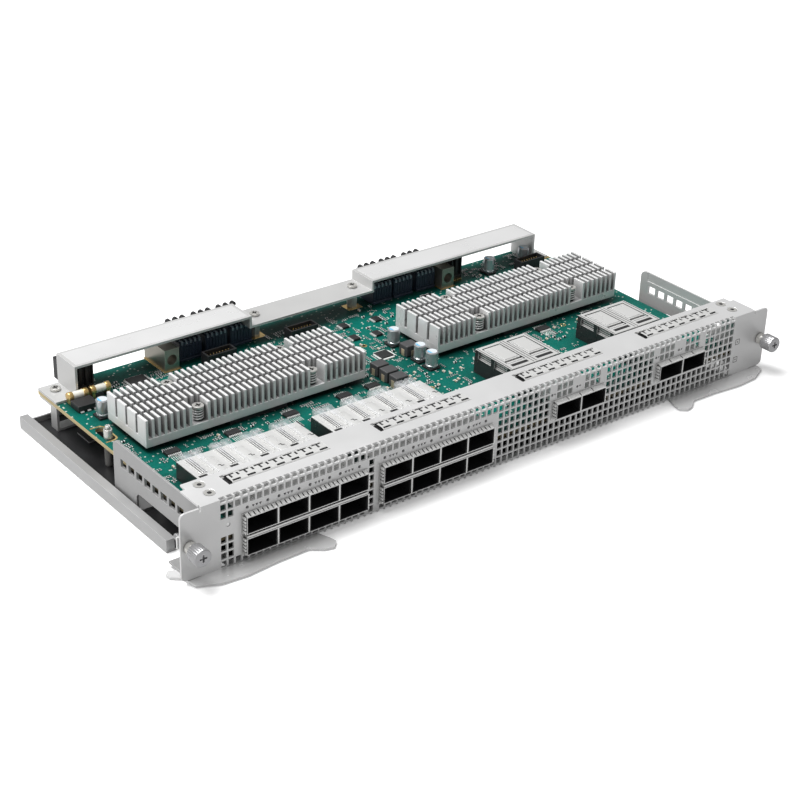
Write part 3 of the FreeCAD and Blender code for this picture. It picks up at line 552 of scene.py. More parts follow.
def make_board():
    material, tree, shader = new_material("Green board")
    pattern = use_group(tree, TRACKS)
    field = mix_colours(tree, pattern["Fields"], DARK_FIELD, PALE_FIELD)
    tracked = mix_colours(tree, pattern["Tracks"], field, TRACK)
    padded = mix_colours(tree, pattern["Pads"], tracked, PAD)
    side = add_math(tree, "LESS_THAN", add_math(tree, "ABSOLUTE", facing_part(tree, "Z")), 0.5)
    shine = use_group(tree, SMUDGES, Scale=60.0, Low=0.28, High=0.42)
    bump = add_node(tree, "ShaderNodeBump", {
        "Strength": 0.25, "Distance": 0.0001, "Height": pattern["Tracks"]})
    feed_all(tree, shader, {
        "Specular IOR Level": 0.08, "Roughness": shine["Value"],
        "Base Color": mix_colours(tree, side, padded, FIBRE), "Normal": bump.outputs["Normal"]})
    return material


BOARD = make_board()
# Painted shade: the green is drawn darker under the flange and beside tall parts.
paint_cavity_shade(BOARD, 0.022, 1.4)


# %% Clear plastic
def make_clear():
    """Flat faces let the metal below show; upright ones are whiter and fuller, a painted sheen."""
    material, tree, shader = new_material("Clear plastic")
    flat = add_math(tree, "ABSOLUTE", facing_part(tree, "Z"))
    # Painted sheen: upright faces are whiter and more opaque.
    upright = add_math(tree, "SUBTRACT", 1.0, flat)
    cover = add_math(tree, "ADD", add_math(tree, "MULTIPLY", upright, 0.20), 0.10)
    shine = use_group(tree, SMUDGES, Scale=80.0, Low=0.05, High=0.16)
    feed_all(tree, shader, {
        "IOR": 1.49, "Alpha": cover, "Roughness": shine["Value"],
        "Base Color": mix_colours(tree, upright, (0.92, 0.94, 1.0), grey(1.0))})
    return material


CLEAR = make_clear()

# %% [markdown]
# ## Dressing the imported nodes
#
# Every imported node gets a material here. Some are replaced by finer pieces further on.

# %% A material for each node
DRESS = (
    (PLATE, "faceplate"), (TRAY, "base_tray"), (BOARD, "main_board"), (CAN, "capacitors"),
    (SHADED_BRACKET, "side_bracket_left"), (STEEL, "side_bracket_right rear_stiffener rear_legs"),
    (SCREW, "stiffener_posts board_standoffs stiffener_screws flange_screws guide_post"),
    (SCREW, "heat_sink_screws ejector_rivets captive_ferrules"),
    (SCREW, "captive_knob_left captive_knob_right"), (CHIP, "processors inductors relay"),
    (FINS, "heat_sink_left heat_sink_right riding_heat_sinks_c riding_heat_sinks_d"),
    (CAGE, "cage_a_upper cage_a_lower cage_b_upper cage_b_lower"),
    (CLIP, "cage_c cage_d heat_sink_clip_c heat_sink_clip_d"),
    (SPRING, "collar_a collar_b collar_c collar_d captive_clip_left captive_clip_right"),
    (SPRING, "contact_strip_1 contact_strip_2 contact_strip_3 contact_strip_4"),
    (CLEAR, "light_pipes_a light_pipes_b"), (WHITE, "lamps"), (CERAMIC, "fuses"),
    (LEVER, "ejector_left ejector_right"), (GUIDE, "guide_block_left guide_block_right"),
    (NAVY, "backplane_sockets_left backplane_sockets_right"),
    (BLACK, "module_sockets power_socket_left power_socket_right pin_headers"),
)


def give_material(mesh, material):
    mesh.materials.clear()
    mesh.materials.append(material)


for material, names in DRESS:
    for node_name in names.split():
        give_material(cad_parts[node_name].data, material)
print("dressed:", sum(len(names.split()) for _, names in DRESS), "of", len(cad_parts))


def finish_piece(piece, material, body="chassis"):
    """The last step for every new piece: its material and the body it rides on."""
    give_material(piece.data, material)
    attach(piece, body)
    print(piece.name, "has", len(piece.data.polygons), "faces and rides on", body)
    return piece


# %% [markdown]
# ## The perforated faceplate
#
# The true grille has 86 columns of square holes whose last row wraps over the upper bend and
# whose first wraps under the lower one. The plain sheet is a few welded blocks. One row of
# cutters is repeated over the face, thinned out where the ports and bands are, and cut away.

# %% Sizes of the sheet and the grille
SHEET = 1.2
EAR = 12.1
EAR_LOW = 2.1
EAR_HIGH = PANEL_HEIGHT - 0.9
EAR_CORNER = 3.0
LIP_INSET = 29.0
LIP_DEPTH = 12.0
FLANGE_STEP = 3.3
FLANGE_STEP_DEPTH = 19.0
COLUMNS = 86
COLUMN_PITCH = 4.49
ROW_PITCH = 4.9
HOLE_WIDTH = 3.45
HOLE_HEIGHT = 3.85
HOLE_MARGIN = 0.35
FIRST_COLUMN = 25.9
FIRST_ROW = 3.9
FACE_ROWS = 8
WRAP_BACK = 2.4
BAND_TOP = 35.9
GAP_COLUMN = 121.6
GAP_COLUMN_ROWS = 7
LAMP_ROWS = (23.0, 32.0)
PORT_STEP = 19.9
WINDOWS = [span("collar_" + letter) for letter in "abcd"]
print("port windows:", [[round(v, 1) for v in (w[0], w[3], w[2], w[5])] for w in WINDOWS])

# %% Sizes of the marks and the other openings
LENS_PLACE = (28.9, 27.0)
LENS_RADIUS = 1.25
MARK_HEIGHT = 33.4
MARK_ROUNDS = (-7.2, 5.6)
MARK_TRIANGLES = (-3.4, -1.2, 1.0)
SINGLE_MARK = (-11.1, 34.6)
SINGLE_TRIANGLE = 2.2
VENT_SPREAD = 2.0 * COLUMN_PITCH
COUNTERSINK = (1.7, 3.75, 1.4)
COUNTERSINK_RISE = 0.65
STRIP_MARGIN = 1.2
SCREW_HOLE = (5.2, 22.1, 2.3)


# %% Which places of the grille stay closed
def port_middles(window, count):
    first = window[0] + 1.6 + (PORT_STEP - 1.0) / 2
    return [first + PORT_STEP * index for index in range(count)]


def is_closed(x, z):
    margin = HOLE_WIDTH / 2 + HOLE_MARGIN
    for index, (x0, y0, z0, x1, y1, z1) in enumerate(WINDOWS):
        if not x0 - margin < x < x1 + margin:
            continue
        if index < 2:
            if z0 < z < BAND_TOP:
                return True
        elif z0 - margin < z < z1 + margin:
            return True
        elif z > z1:
            return all(abs(x - port) > VENT_SPREAD - COLUMN_PITCH / 2
                       for port in port_middles(WINDOWS[index], 2))
    beside_gap_column = abs(x - GAP_COLUMN) < COLUMN_PITCH and z < BAND_TOP
    lamp_column = x < WINDOWS[0][0] and LAMP_ROWS[0] < z < LAMP_ROWS[1]
    return lamp_column or beside_gap_column


# %% Welded blocks and rounded corners
def weld(piece, part):
    return combine(piece, part, "UNION")


def round_corners(piece, radius, is_corner, segments=5):
    """Bevels the straight edges whose middle passes a test."""
    def is_chosen(edge):
        a, b = (piece.data.vertices[k].co for k in edge.vertices)
        return is_corner(*(((a + b) / 2 - corner) / MM))

    return edit_chosen(piece, "EDGE", is_chosen, bpy.ops.mesh.bevel,
                       offset=radius * MM, segments=segments, affect="EDGES")


# %% The plain sheet and the tools that pierce it
def make_sheet():
    width, top = PANEL_WIDTH, PANEL_HEIGHT
    wall = box_piece("perforated_faceplate", EAR, width - EAR, 0, SHEET, 0, top)
    weld(wall, box_piece("flange", EAR, width - EAR, 0, FLANGE_STEP_DEPTH, top - SHEET, top))
    weld(wall, box_piece("flange_back", EAR + FLANGE_STEP, width - EAR - FLANGE_STEP,
                         FLANGE_STEP_DEPTH - 1, FLANGE_DEPTH, top - SHEET, top))
    weld(wall, box_piece("lip", LIP_INSET, width - LIP_INSET, 0, LIP_DEPTH, 0, SHEET))
    for start, end, outer in ((0, EAR + 1, 0), (width - EAR - 1, width, width)):
        ear = box_piece("ear", start, end, 0, SHEET, EAR_LOW, EAR_HIGH)
        weld(wall, round_corners(ear, EAR_CORNER, lambda x, y, z: (
            abs(x - outer) < 0.1 and abs(y - SHEET / 2) < 0.1)))
    return wall


def make_window_cutters():
    tools = [cone_piece("countersink", *COUNTERSINK, (
        (x0 + x1) / 2, (y0 + y1) / 2, PANEL_HEIGHT - SHEET + COUNTERSINK_RISE))
        for x0, y0, z0, x1, y1, z1 in parts_of("flange_screws")]
    for x0, y0, z0, x1, y1, z1 in WINDOWS:
        tools.append(box_piece("window", x0, x1, -1, SHEET + 1, z0, z1))
    for index in range(1, 5):
        x0, y0, z0, x1, y1, z1 = span("contact_strip_%d" % index)
        tools.append(box_piece("strip_window", x0, x1, y0 + STRIP_MARGIN, y1 - STRIP_MARGIN,
                               PANEL_HEIGHT - SHEET - 1, PANEL_HEIGHT + 1))
    for x in (EAR, PANEL_WIDTH - EAR):
        tools.append(box_piece("relief", x - 0.5, x + 0.5, -1, SHEET + 1,
                               EAR_HIGH - 2, PANEL_HEIGHT + 1))
    inset, height, radius = SCREW_HOLE
    for x in (inset, PANEL_WIDTH - inset):
        tools.append(round_piece("screw_hole", radius, x, -1, height, SHEET + 2, "Y", 24))
    return tools


def make_plugs(front, back, shrink=0.0):
    """Round and three-cornered plugs for the marks over the ports, with the lamp's as the last."""
    spots = []
    for window in WINDOWS[:2]:
        for port in port_middles(window, 4):
            spots += [(port + x, MARK_HEIGHT, 1.0, 16) for x in MARK_ROUNDS]
            spots += [(port + x, MARK_HEIGHT, 1.15, 3) for x in MARK_TRIANGLES]
    for window in WINDOWS[2:]:
        for port in port_middles(window, 2):
            x, z = port + SINGLE_MARK[0], SINGLE_MARK[1]
            spots += [(x, z, 0.9, 16), (x + SINGLE_TRIANGLE, z, 1.0, 3)]
    spots.append((*LENS_PLACE, LENS_RADIUS, 24))
    return [round_piece("mark", radius - shrink, x, front, z, back - front, "Y", sides)
            for x, z, radius, sides in spots]


def make_hole_cutters():
    x0 = FIRST_COLUMN - HOLE_WIDTH / 2
    z0 = FIRST_ROW - HOLE_HEIGHT / 2
    x1, z1 = x0 + HOLE_WIDTH, z0 + HOLE_HEIGHT
    half = HOLE_WIDTH / 2
    face = box_piece("holes", x0, x1, -1, SHEET + 1, z0, z1)
    wrap = box_piece("wrap_holes", x0, x1, -1, WRAP_BACK,
                     FIRST_ROW + FACE_ROWS * ROW_PITCH - HOLE_HEIGHT / 2, PANEL_HEIGHT + 1)
    under = box_piece("under_holes", x0, x1, -1, WRAP_BACK,
                      -1, FIRST_ROW - ROW_PITCH + HOLE_HEIGHT / 2)
    for cutters in (face, wrap, under):
        repeat(cutters, COLUMNS, (COLUMN_PITCH, 0, 0))
    repeat(face, FACE_ROWS, (0, 0, ROW_PITCH))
    delete_parts(face, lambda x, y, z: is_closed(x, z))
    margin = LIP_INSET + HOLE_WIDTH
    delete_parts(under, lambda x, y, z: x < margin or x > PANEL_WIDTH - margin)
    between = box_piece("gap_holes", GAP_COLUMN - half, GAP_COLUMN + half, -1, SHEET + 1, z0, z1)
    repeat(between, GAP_COLUMN_ROWS, (0, 0, ROW_PITCH))
    return [face, wrap, under, between, join_pieces("marks", make_plugs(-1, SHEET + 1))]


# %% Pierce the sheet and fill the marks
faceplate = make_sheet()
for cutter in make_window_cutters() + make_hole_cutters():
    cut_away(faceplate, cutter)
finish_piece(faceplate, PLATE)
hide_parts("faceplate")

plugs = make_plugs(0.4, SHEET - 0.1, shrink=0.22)
lamp_lens = join_pieces("lamp_lens", [plugs.pop()])
for piece, material in ((join_pieces("smoked_lenses", plugs), SMOKE), (lamp_lens, LENS)):
    finish_piece(bevel_edges(piece, 0.1, 1, 60), material)

# %% [markdown]
# ## Finned heat sinks
#
# One small fin is repeated 38 times across and 4 times back; the fins round each screw are
# taken out to leave the clearing the springs stand in.

# %% Fins
FIN_COLUMNS = 38
FIN_ROWS = 4
FIN_GAP = 2.2
FIN_THICKNESS = 1.7
BASE_HEIGHT = 5.3
CLEARING = 4.2
SINK_SCREWS = [middle_of(box)[:2] for box in parts_of("heat_sink_screws")]
print("heat sink screws:", [(round(x, 1), round(y, 1)) for x, y in SINK_SCREWS])


def make_heat_sink(side):
    x0, y0, z0, x1, y1, z1 = span("heat_sink_" + side)
    name = "finned_sink_" + side
    base = bevel_edges(box_piece(name, x0, x1, y0, y1, z0, z0 + BASE_HEIGHT), 0.3)
    length = (y1 - y0 - (FIN_ROWS - 1) * FIN_GAP) / FIN_ROWS
    fins = box_piece("fins", x0, x0 + FIN_THICKNESS, y0, y0 + length, z0 + BASE_HEIGHT - 0.2, z1)
    repeat(fins, FIN_COLUMNS, ((x1 - x0 - FIN_THICKNESS) / (FIN_COLUMNS - 1), 0, 0))
    repeat(fins, FIN_ROWS, (0, length + FIN_GAP, 0))
    delete_parts(fins, lambda x, y, z: any(
        abs(x - screw_x) < CLEARING + 0.4 and abs(y - screw_y) < CLEARING + length / 2
        for screw_x, screw_y in SINK_SCREWS))
    sink = join_pieces(name, [base, bevel_edges(fins, 0.15, 1)])
    finish_piece(sink, FINS)
    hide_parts("heat_sink_" + side)


make_heat_sink("left")
make_heat_sink("right")

# %% [markdown]
# ## Screws and springs
#
# A screw head is a short bevelled cylinder with a cross cut into it. The heat sink's springs
# are a small ring swept up with the screw modifier.

# %% One screw head, copied to many places
SINK_HEAD = (3.55, 1.8)
SHANK_RADIUS = 2.6
SPRING_RADIUS = 2.8
WIRE_RADIUS = 0.55
SPRING_TURNS = 4


def make_cross_head(name, radius, x, y, z, height, bevel=0.35):
    head = bevel_edges(round_piece(name, radius, x, y, z, height), bevel, 2, 50)
    reach, slim = radius * 0.55, radius * 0.17
    top = z + height
    for half_x, half_y in ((reach, slim), (slim, reach)):
        cut_away(head, slab("cross", x, half_x, y, half_y, top - height * 0.7, top + 1))
    return smooth(head)


def make_spring(height, place):
    deselect_all()
    bpy.ops.mesh.primitive_circle_add(vertices=8, radius=WIRE_RADIUS * MM,
                                      rotation=(math.pi / 2, 0, 0))
    bpy.context.object.location = Vector((SPRING_RADIUS, 0, WIRE_RADIUS)) * MM
    ring = settle("sink_springs")
    modify(ring, "SCREW", steps=20, render_steps=20, iterations=SPRING_TURNS,
           screw_offset=(height - 2 * WIRE_RADIUS) / SPRING_TURNS * MM)
    ring.location = at(*place)
    return settle("sink_springs")


def make_sink_screws():
    z0, z1 = span("heat_sink_screws")[2::3]
    places = [(x, y, z0) for x, y in SINK_SCREWS]
    x, y = SINK_SCREWS[0]
    radius, head_height = SINK_HEAD
    low = z1 - head_height
    head = make_cross_head("sink_screw_heads", radius, x, y, low, head_height)
    shank = round_piece("sink_screw_shanks", SHANK_RADIUS, x, y, z0, low - z0 + 0.2, sides=16)
    spring = make_spring(low - z0, places[0])
    bevel_edges(shank, 0.1, 1, 50)
    for piece, material in ((shank, SHADED_SHANK), (head, SCREW), (spring, WIRE)):
        finish_piece(copy_to(piece, places, places[0]), material)
    smooth(spring, 60)
    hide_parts("heat_sink_screws")


make_sink_screws()

# %% Pan heads, countersunk heads and the guide post
PAN_HEIGHT = 1.9
HEAD_SHRINK = 0.45


def make_stiffener_screws():
    made = []
    for box in parts_of("stiffener_screws"):
        x, y = middle_of(box)[:2]
        low, top = box[2], box[5] - PAN_HEIGHT
        made.append(make_cross_head("pan_head", (box[3] - box[0]) / 2, x, y, top, PAN_HEIGHT, 0.7))
        made.append(round_piece("pan_shank", 1.5, x, y, low, top - low + 0.1, sides=16))
    screws = finish_piece(join_pieces("stiffener_screw_set", made), SCREW)
    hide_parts("stiffener_screws")


def make_flange_screws():
    made, socket_shades = [], []
    for box in parts_of("flange_screws"):
        x, y, z = middle_of(box)
        radius = (box[3] - box[0]) / 2 - HEAD_SHRINK
        top = box[5]
        head = cone_piece("head", 1.5, radius, top - box[2], (x, y, z))
        bore = round_piece("bore", radius * 0.42, x, y, top - 0.4, 2, sides=24)
        made.append(cut_away(head, bore))
        # Painted shade: a black disc sits in each head's bore.
        socket_shades.append(round_piece("socket", radius * 0.41, x, y, top - 0.45, 0.25, sides=24))
    screws = finish_piece(smooth(join_pieces("flange_screw_set", made)), SCREW)
    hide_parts("flange_screws")
    finish_piece(bevel_edges(join_pieces("flange_screw_socket_shades", socket_shades), 0.05, 1), BLACK)


def make_guide_post():
    box = span("guide_post")
    x, y = middle_of(box)[:2]
    radius, low, top = (box[3] - box[0]) / 2, box[2], box[5]
    post = round_piece("round_guide_post", radius, x, y, low, top - low - 2.2)
    tip = round_piece("tip", radius * 0.62, x, y, top - 2.4, 2.4, sides=24)
    parts = [bevel_edges(post, 0.3, angle=50), bevel_edges(tip, 0.4, angle=50)]
    piece = finish_piece(smooth(join_pieces("round_guide_post", parts)), SCREW)
    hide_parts("guide_post")


make_stiffener_screws()
make_flange_screws()
make_guide_post()

# %% [markdown]
# ## Captive thumbscrews
#
# The knob's rim is knurled, its face has a cross and its screw is threaded. Each knob turns on
# its own body, so its pieces ride there.

# %% Thumbscrews
KNOB_BACK = -4.9
KNOB_SIDES = 64
KNURL = 0.965
NECK_RADIUS = 1.4
THREAD_START = 7.25
THREAD_PITCH = 0.7
THREAD_RADII = (1.5, 1.75)
CROSS_DEPTH = 1.6
BORE_RADIUS = 2.3


def knurl_rim(head, x, z):
    """Draws every other corner of the rim in a little, which leaves fine straight ribs."""
    for vertex in head.data.vertices:
        px, py, pz = (vertex.co - corner) / MM
        turn = math.atan2(pz - z, px - x)
        if int(round(turn / (2 * math.pi) * KNOB_SIDES)) % 2:
            vertex.co = at(x + (px - x) * KNURL, py, z + (pz - z) * KNURL)


def make_knob(side):
    box = span("captive_knob_" + side)
    x, y, z = middle_of(box)
    front, back, radius = box[1], box[4], (box[5] - box[2]) / 2
    head = round_piece("head", radius, x, front, z, KNOB_BACK - front, "Y", KNOB_SIDES)
    knurl_rim(head, x, z)
    bevel_edges(head, 0.6, 3, 60)
    reach, slim = radius * 0.45, radius * 0.12
    for half_x, half_z in ((reach, slim), (slim, reach)):
        cut_away(head, box_piece("cross", x - half_x, x + half_x, front - 1, front + CROSS_DEPTH,
                                 z - half_z, z + half_z))
    core_radius, ring_radius = THREAD_RADII
    parts = [head, round_piece("neck", NECK_RADIUS, x, KNOB_BACK - 0.2, z,
                               THREAD_START - KNOB_BACK + 0.4, "Y", 24),
             round_piece("core", core_radius, x, THREAD_START, z, back - THREAD_START, "Y", 24)]
    for turn in range(int((back - THREAD_START) / THREAD_PITCH)):
        ring = round_piece("ring", ring_radius, x, THREAD_START + 0.1 + turn * THREAD_PITCH, z,
                           0.42, "Y", 24)
        parts.append(bevel_edges(ring, 0.12, 1, 50))
    knob = smooth(join_pieces("knurled_knob_" + side, parts), 40)
    finish_piece(knob, KNOB, "screw_knob_" + side)
    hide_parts("captive_knob_" + side)


def make_ferrules():
    made = []
    for box in parts_of("captive_ferrules"):
        x, y, z = middle_of(box)
        front, length = box[1], box[4] - box[1]
        sleeve = round_piece("sleeve", (box[3] - box[0]) / 2, x, front, z, length, "Y")
        bevel_edges(sleeve, 0.4, angle=60)
        bore = round_piece("bore", BORE_RADIUS, x, front - 1, z, length + 2, "Y", 24)
        made.append(cut_away(sleeve, bore))
    sleeves = finish_piece(smooth(join_pieces("round_ferrules", made)), SCREW)
    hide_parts("captive_ferrules")


make_knob("left")
make_knob("right")
make_ferrules()

# %% [markdown]
# ## Contact strips in the flange
#
# Each strip arches through its window. Thin slits part its sprung tabs: a long slit behind each
# pair, another in front of it, and short ones between the tabs.

# %% An outline extruded to a piece
FACE_OUTWARD = (bpy.ops.mesh.normals_make_consistent, {"inside": False})


def mesh_piece(name, points, edges, faces):
    mesh = bpy.data.meshes.new(name)
    mesh.from_pydata(points, edges, faces)
    piece = bpy.data.objects.new(name, mesh)
    bpy.context.collection.objects.link(piece)
    activate(piece)
    return piece


def run_on_all(*actions):
    """Runs edit steps on the whole of the active mesh."""
    bpy.ops.object.mode_set(mode="EDIT")
    for action, settings in actions:
        bpy.ops.mesh.select_all(action="SELECT")
        action(**settings)
    bpy.ops.object.mode_set(mode="OBJECT")


def sweep_outline(name, outline, x0, x1):
    """A closed outline of (y, z) places, filled and extruded along X."""
    piece = mesh_piece(name, [at(x0, y, z) for y, z in outline], [], [list(range(len(outline)))])
    move = {"TRANSFORM_OT_translate": {"value": ((x1 - x0) * MM, 0, 0)}}
    run_on_all((bpy.ops.mesh.extrude_region_move, move), FACE_OUTWARD)
    return piece


# %% Contact strips
TAB_PAIRS = 7
TAB_THICKNESS = 0.3
SLIT = 1.4
REAR_SLIT = 6.0
FRONT_SLIT = 5.2
FRONT_SHIFT = 1.2
STEM = 4.2
END_GAP = 2.6
ARCH_INSET = 1.35
RAIL = 2.4


def arch_outline(front, back, low, crown, top):
    """The strip's side outline: up over the crown's inside and back over its outside."""
    return [(front, low), (front + 1.3, crown - 0.35), (front + 2.2, crown), (back - 2.2, crown),
            (back - 1.3, crown - 0.35), (back, low), (back + 0.4, low + 0.1),
            (back - 1.0, top - 0.3), (back - 2.0, top), (front + 2.0, top),
            (front + 1.0, top - 0.3), (front - 0.4, low + 0.1)]


def make_contact_strip(index):
    node = "contact_strip_%d" % index
    x0, y0, z0, x1, y1, z1 = span(node)
    front, back = y0 + ARCH_INSET, y1 - ARCH_INSET
    low, crown = z0 + TAB_THICKNESS, z1 - TAB_THICKNESS
    arch = sweep_outline("arch", arch_outline(front, back, low, crown, z1), x0 + END_GAP, x1 - 0.3)
    pitch = (x1 - x0) / TAB_PAIRS
    middle = x0 + pitch / 2
    for x, width, y_low, y_high, count in (
            (middle, REAR_SLIT, back - 1.5 - SLIT, back - 1.5, TAB_PAIRS),
            (middle, SLIT, back - 1.7 - STEM, back - 1.7, TAB_PAIRS),
            (middle + pitch / 2, SLIT, back - 2.2 - STEM * 0.7, back - 2.2, TAB_PAIRS - 1),
            (middle + FRONT_SHIFT, FRONT_SLIT, front + 1.1, front + 1.1 + SLIT, TAB_PAIRS)):
        slit = box_piece("slit", x - width / 2, x + width / 2, y_low, y_high, z0, z1 + 1)
        cut_away(arch, repeat(slit, count, (pitch, 0, 0)))
    rails = [box_piece("rail", x0, x1, y, y + RAIL, z0, low) for y in (y0, y1 - RAIL)]
    strip = finish_piece(join_pieces("tab_strip_%d" % index, [arch] + rails), LID)
    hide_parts(node)
    # Painted shade: black blocks under the arch, so every slit shows dark.
    shade = [box_piece("shade", x0 + 0.3, x1 - 0.3, y0 + 2.0, y1 - 2.0, z0 - 0.25, z0 - 0.05),
             box_piece("core", x0 + END_GAP + 0.4, x1 - 0.5, front + 2.2, back - 2.2,
                       z0 - 0.1, crown - 0.12)]
    finish_piece(bevel_edges(join_pieces("strip_shade_%d" % index, shade), 0.05, 1), BLACK)


for strip_index in range(1, 5):
    make_contact_strip(strip_index)

# %% [markdown]
# ## Port collars
#
# A collar frames each port block with fine sprung ribs that flare towards the front. The packed
# collar has a few broad fingers; here one narrow rib is repeated along every side.

# %% Collars
RIB_PITCHES = {"a": 2.84, "b": 2.84, "c": 9.95, "d": 9.95}
RIB_GAP = 0.75
CHEEK_PITCH = 2.0
CHEEK_GAP = 0.3
CHEEK_FLARE = 0.7
COLLAR_FRONT = -0.6
COLLAR_BACK = 1.5
RIB_FRONT = -3.2
RIB_RISE = 1.1
COLLAR_WALL = 1.2
DIVIDER = 1.3
BOARD_LOW = 16.5
BOARD_TOP = 19.1
ROW_HEIGHT = 10.4


def make_rib_row(x0, x1, level, pitch):
    outline = [(RIB_FRONT, level), (COLLAR_FRONT, level), (COLLAR_FRONT, level + RIB_RISE)]
    count = int(round((x1 - x0) / pitch))
    step = (x1 - x0) / count
    rib = sweep_outline("rib", outline, x0 + RIB_GAP / 2, x0 + step - RIB_GAP / 2)
    return repeat(rib, count, (step, 0, 0))


def make_cheek_ribs(x, turn, z0, z1):
    """Narrow flared ribs down one side of a block."""
    count = int(round((z1 - z0) / CHEEK_PITCH))
    step = (z1 - z0) / count
    left, right = sorted((x, x + turn * CHEEK_FLARE))
    rib = box_piece("cheek", left, right, RIB_FRONT, COLLAR_FRONT,
                    z0 + CHEEK_GAP, z0 + step - CHEEK_GAP)
    return repeat(rib, count, (0, 0, step))


def make_collar(letter):
    x0, y0, z0, x1 = span("collar_" + letter)[:4]
    left, right = x0 + COLLAR_WALL, x1 - COLLAR_WALL
    top = BOARD_TOP + ROW_HEIGHT
    pitch = RIB_PITCHES[letter]
    stacked = letter in "ab"
    rows = [(BOARD_TOP, top)]
    if stacked:
        rows.append((BOARD_LOW - ROW_HEIGHT, BOARD_LOW))
    parts = [box_piece("frame", x0, x1, COLLAR_FRONT, COLLAR_BACK, z0, top + COLLAR_WALL)]
    for low, high in rows:
        cut_away(parts[0], box_piece("row", left, right, -2, 3, low, high))
        parts.append(make_cheek_ribs(left - 0.05, -1, low, high))
        parts.append(make_cheek_ribs(right + 0.05, 1, low, high))
    parts.append(make_rib_row(left, right, top, pitch))
    if stacked:
        parts.append(box_piece("divider", left + 0.4, right - 0.4, RIB_FRONT, COLLAR_FRONT + 0.1,
                               BOARD_LOW, BOARD_LOW + DIVIDER))
        parts.append(make_rib_row(left, right, BOARD_LOW + DIVIDER, pitch))
    collar = finish_piece(join_pieces("ribbed_collar_" + letter, parts), SPRING)
    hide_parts("collar_" + letter)


for block_letter in "abcd":
    make_collar(block_letter)

# %% [markdown]
# ## Cage lids
#
# The lid of a stacked cage is bright stamped sheet. Each port has the same pattern on it: ridges
# that run from front to back, a raised field, a slot near the flange and a small crooked dimple.
# One port's pattern is modelled and copied to the others.

# %% Cage lids
LID_HALF = 9.8
LID_FRONT = 2.0
LID_SHEET = 0.7
RIDGES = (-6.2, -4.8, -3.4, -2.0, 1.6)
RIDGE_FRONT = 46.4
FIELD = (3.6, 9.6, 40.0, 60.0)
SLOT = (-8.6, -3.2, 43.6, 45.5)
STUDS = (-0.4, 2.9)
STUD_Y = 44.2
DIMPLE = ((6.2, 8.0, 48.9, 49.5), (7.4, 8.0, 47.3, 49.5), (7.4, 9.4, 47.3, 47.9))


def make_cage_lids(letter):
    back, z1 = span("cage_%s_upper" % letter)[4:]
    middles = port_middles(span("collar_" + letter), 4)
    x = middles[0]
    places = [(middle, 0, 0) for middle in middles]
    low, top = z1 + 0.05, z1 + LID_SHEET

    def shifted(name, place, bottom, lid):
        left, right, front, rear = place
        return box_piece(name, x + left, x + right, front, rear, bottom, lid)

    plate = box_piece("lid_plate_" + letter, x - LID_HALF, middles[-1] + LID_HALF,
                      LID_FRONT, back - 0.3, low, top)
    finish_piece(bevel_edges(plate, 0.25), LID)
    stamped = [bevel_edges(shifted("field", FIELD, low, top + 0.35), 0.3)]
    for ridge in RIDGES:
        place = (ridge - 0.4, ridge + 0.4, RIDGE_FRONT, back - 1.5)
        stamped.append(bevel_edges(shifted("ridge", place, low, top + 0.7), 0.25))
    for stud in STUDS:
        piece = round_piece("stud", 0.8, x + stud, STUD_Y, low, top + 0.4 - low, sides=16)
        stamped.append(bevel_edges(piece, 0.15, 1, 50))
    lids = copy_to(join_pieces("stamped_lid_" + letter, stamped), places, places[0])
    finish_piece(smooth(lids, 40), LID)
    # Painted shade: the slot and the dimple are thin black sheets laid on the lid.
    shade_pieces = [shifted("slot", SLOT, top - 0.1, top + 0.06)]
    shade_pieces += [shifted("dimple", place, top + 0.30, top + 0.42) for place in DIMPLE]
    marks = bevel_edges(join_pieces("lid_slot_shade_" + letter, shade_pieces), 0.03, 1)
    finish_piece(copy_to(marks, places, places[0]), BLACK)


make_cage_lids("a")
make_cage_lids("b")

# %% [markdown]
# ## Painted shade in the port mouths
#
# Inside, a port is dark with shade, and that dark is painted: a thin black liner, open at the
# front, stands just inside every cage mouth. A block loses its front face and gets a wall from the
# solidify modifier.

# %% Painted shade liners in the ports
SHADE_LINER_HALF = 8.9
SHADE_LINER_WALL = 0.2
SHADE_LINER_FRONT = -3.3
SHADE_LINER_BACK = 50.0
CAGE_SHEET = 0.55


def make_shade_liners():
    lower = BOARD_LOW - ROW_HEIGHT
    places = []
    for index, window in enumerate(WINDOWS):
        floors = (BOARD_TOP, lower) if index < 2 else (BOARD_TOP,)
        for x in port_middles(window, 2 * len(floors)):
            places += [(x, 0, floor) for floor in floors]
    x, y, floor = places[0]
    # Painted shade: a black open box inside each port.
    shade_liner = box_piece("port_shade_liners", x - SHADE_LINER_HALF, x + SHADE_LINER_HALF, SHADE_LINER_FRONT, SHADE_LINER_BACK,
                      floor + CAGE_SHEET, floor + ROW_HEIGHT - CAGE_SHEET)
    edit_chosen(shade_liner, "FACE", lambda face: face.normal.y < -0.5, bpy.ops.mesh.delete, type="FACE")
    modify(shade_liner, "SOLIDIFY", thickness=SHADE_LINER_WALL * MM, offset=-1)
    finish_piece(copy_to(shade_liner, places, places[0]), BLACK)
    print("ports:", len(places))


make_shade_liners()

# %% [markdown]
# ## Light pipes
#
# Two clear bars a port run along the lid and drop to the lamps behind the cage, with a generous
# bend. Their side outline is filled and extruded, then the long edges are softened.

# %% Light pipes
PIPE_BEND = 4.5
PIPE_HUMP = 1.0
BEND_STEPS = 6
HOLDER_HALF = 5.4
GROOVE_HALF = 1.6


def arc_points(y, z, radius, start, end):
    """Places (y, z) along an arc, with its angles in quarter turns."""
    turns = [math.pi / 2 * (start + (end - start) * step / BEND_STEPS)
             for step in range(BEND_STEPS + 1)]
    return [(y + radius * math.cos(turn), z + radius * math.sin(turn)) for turn in turns]


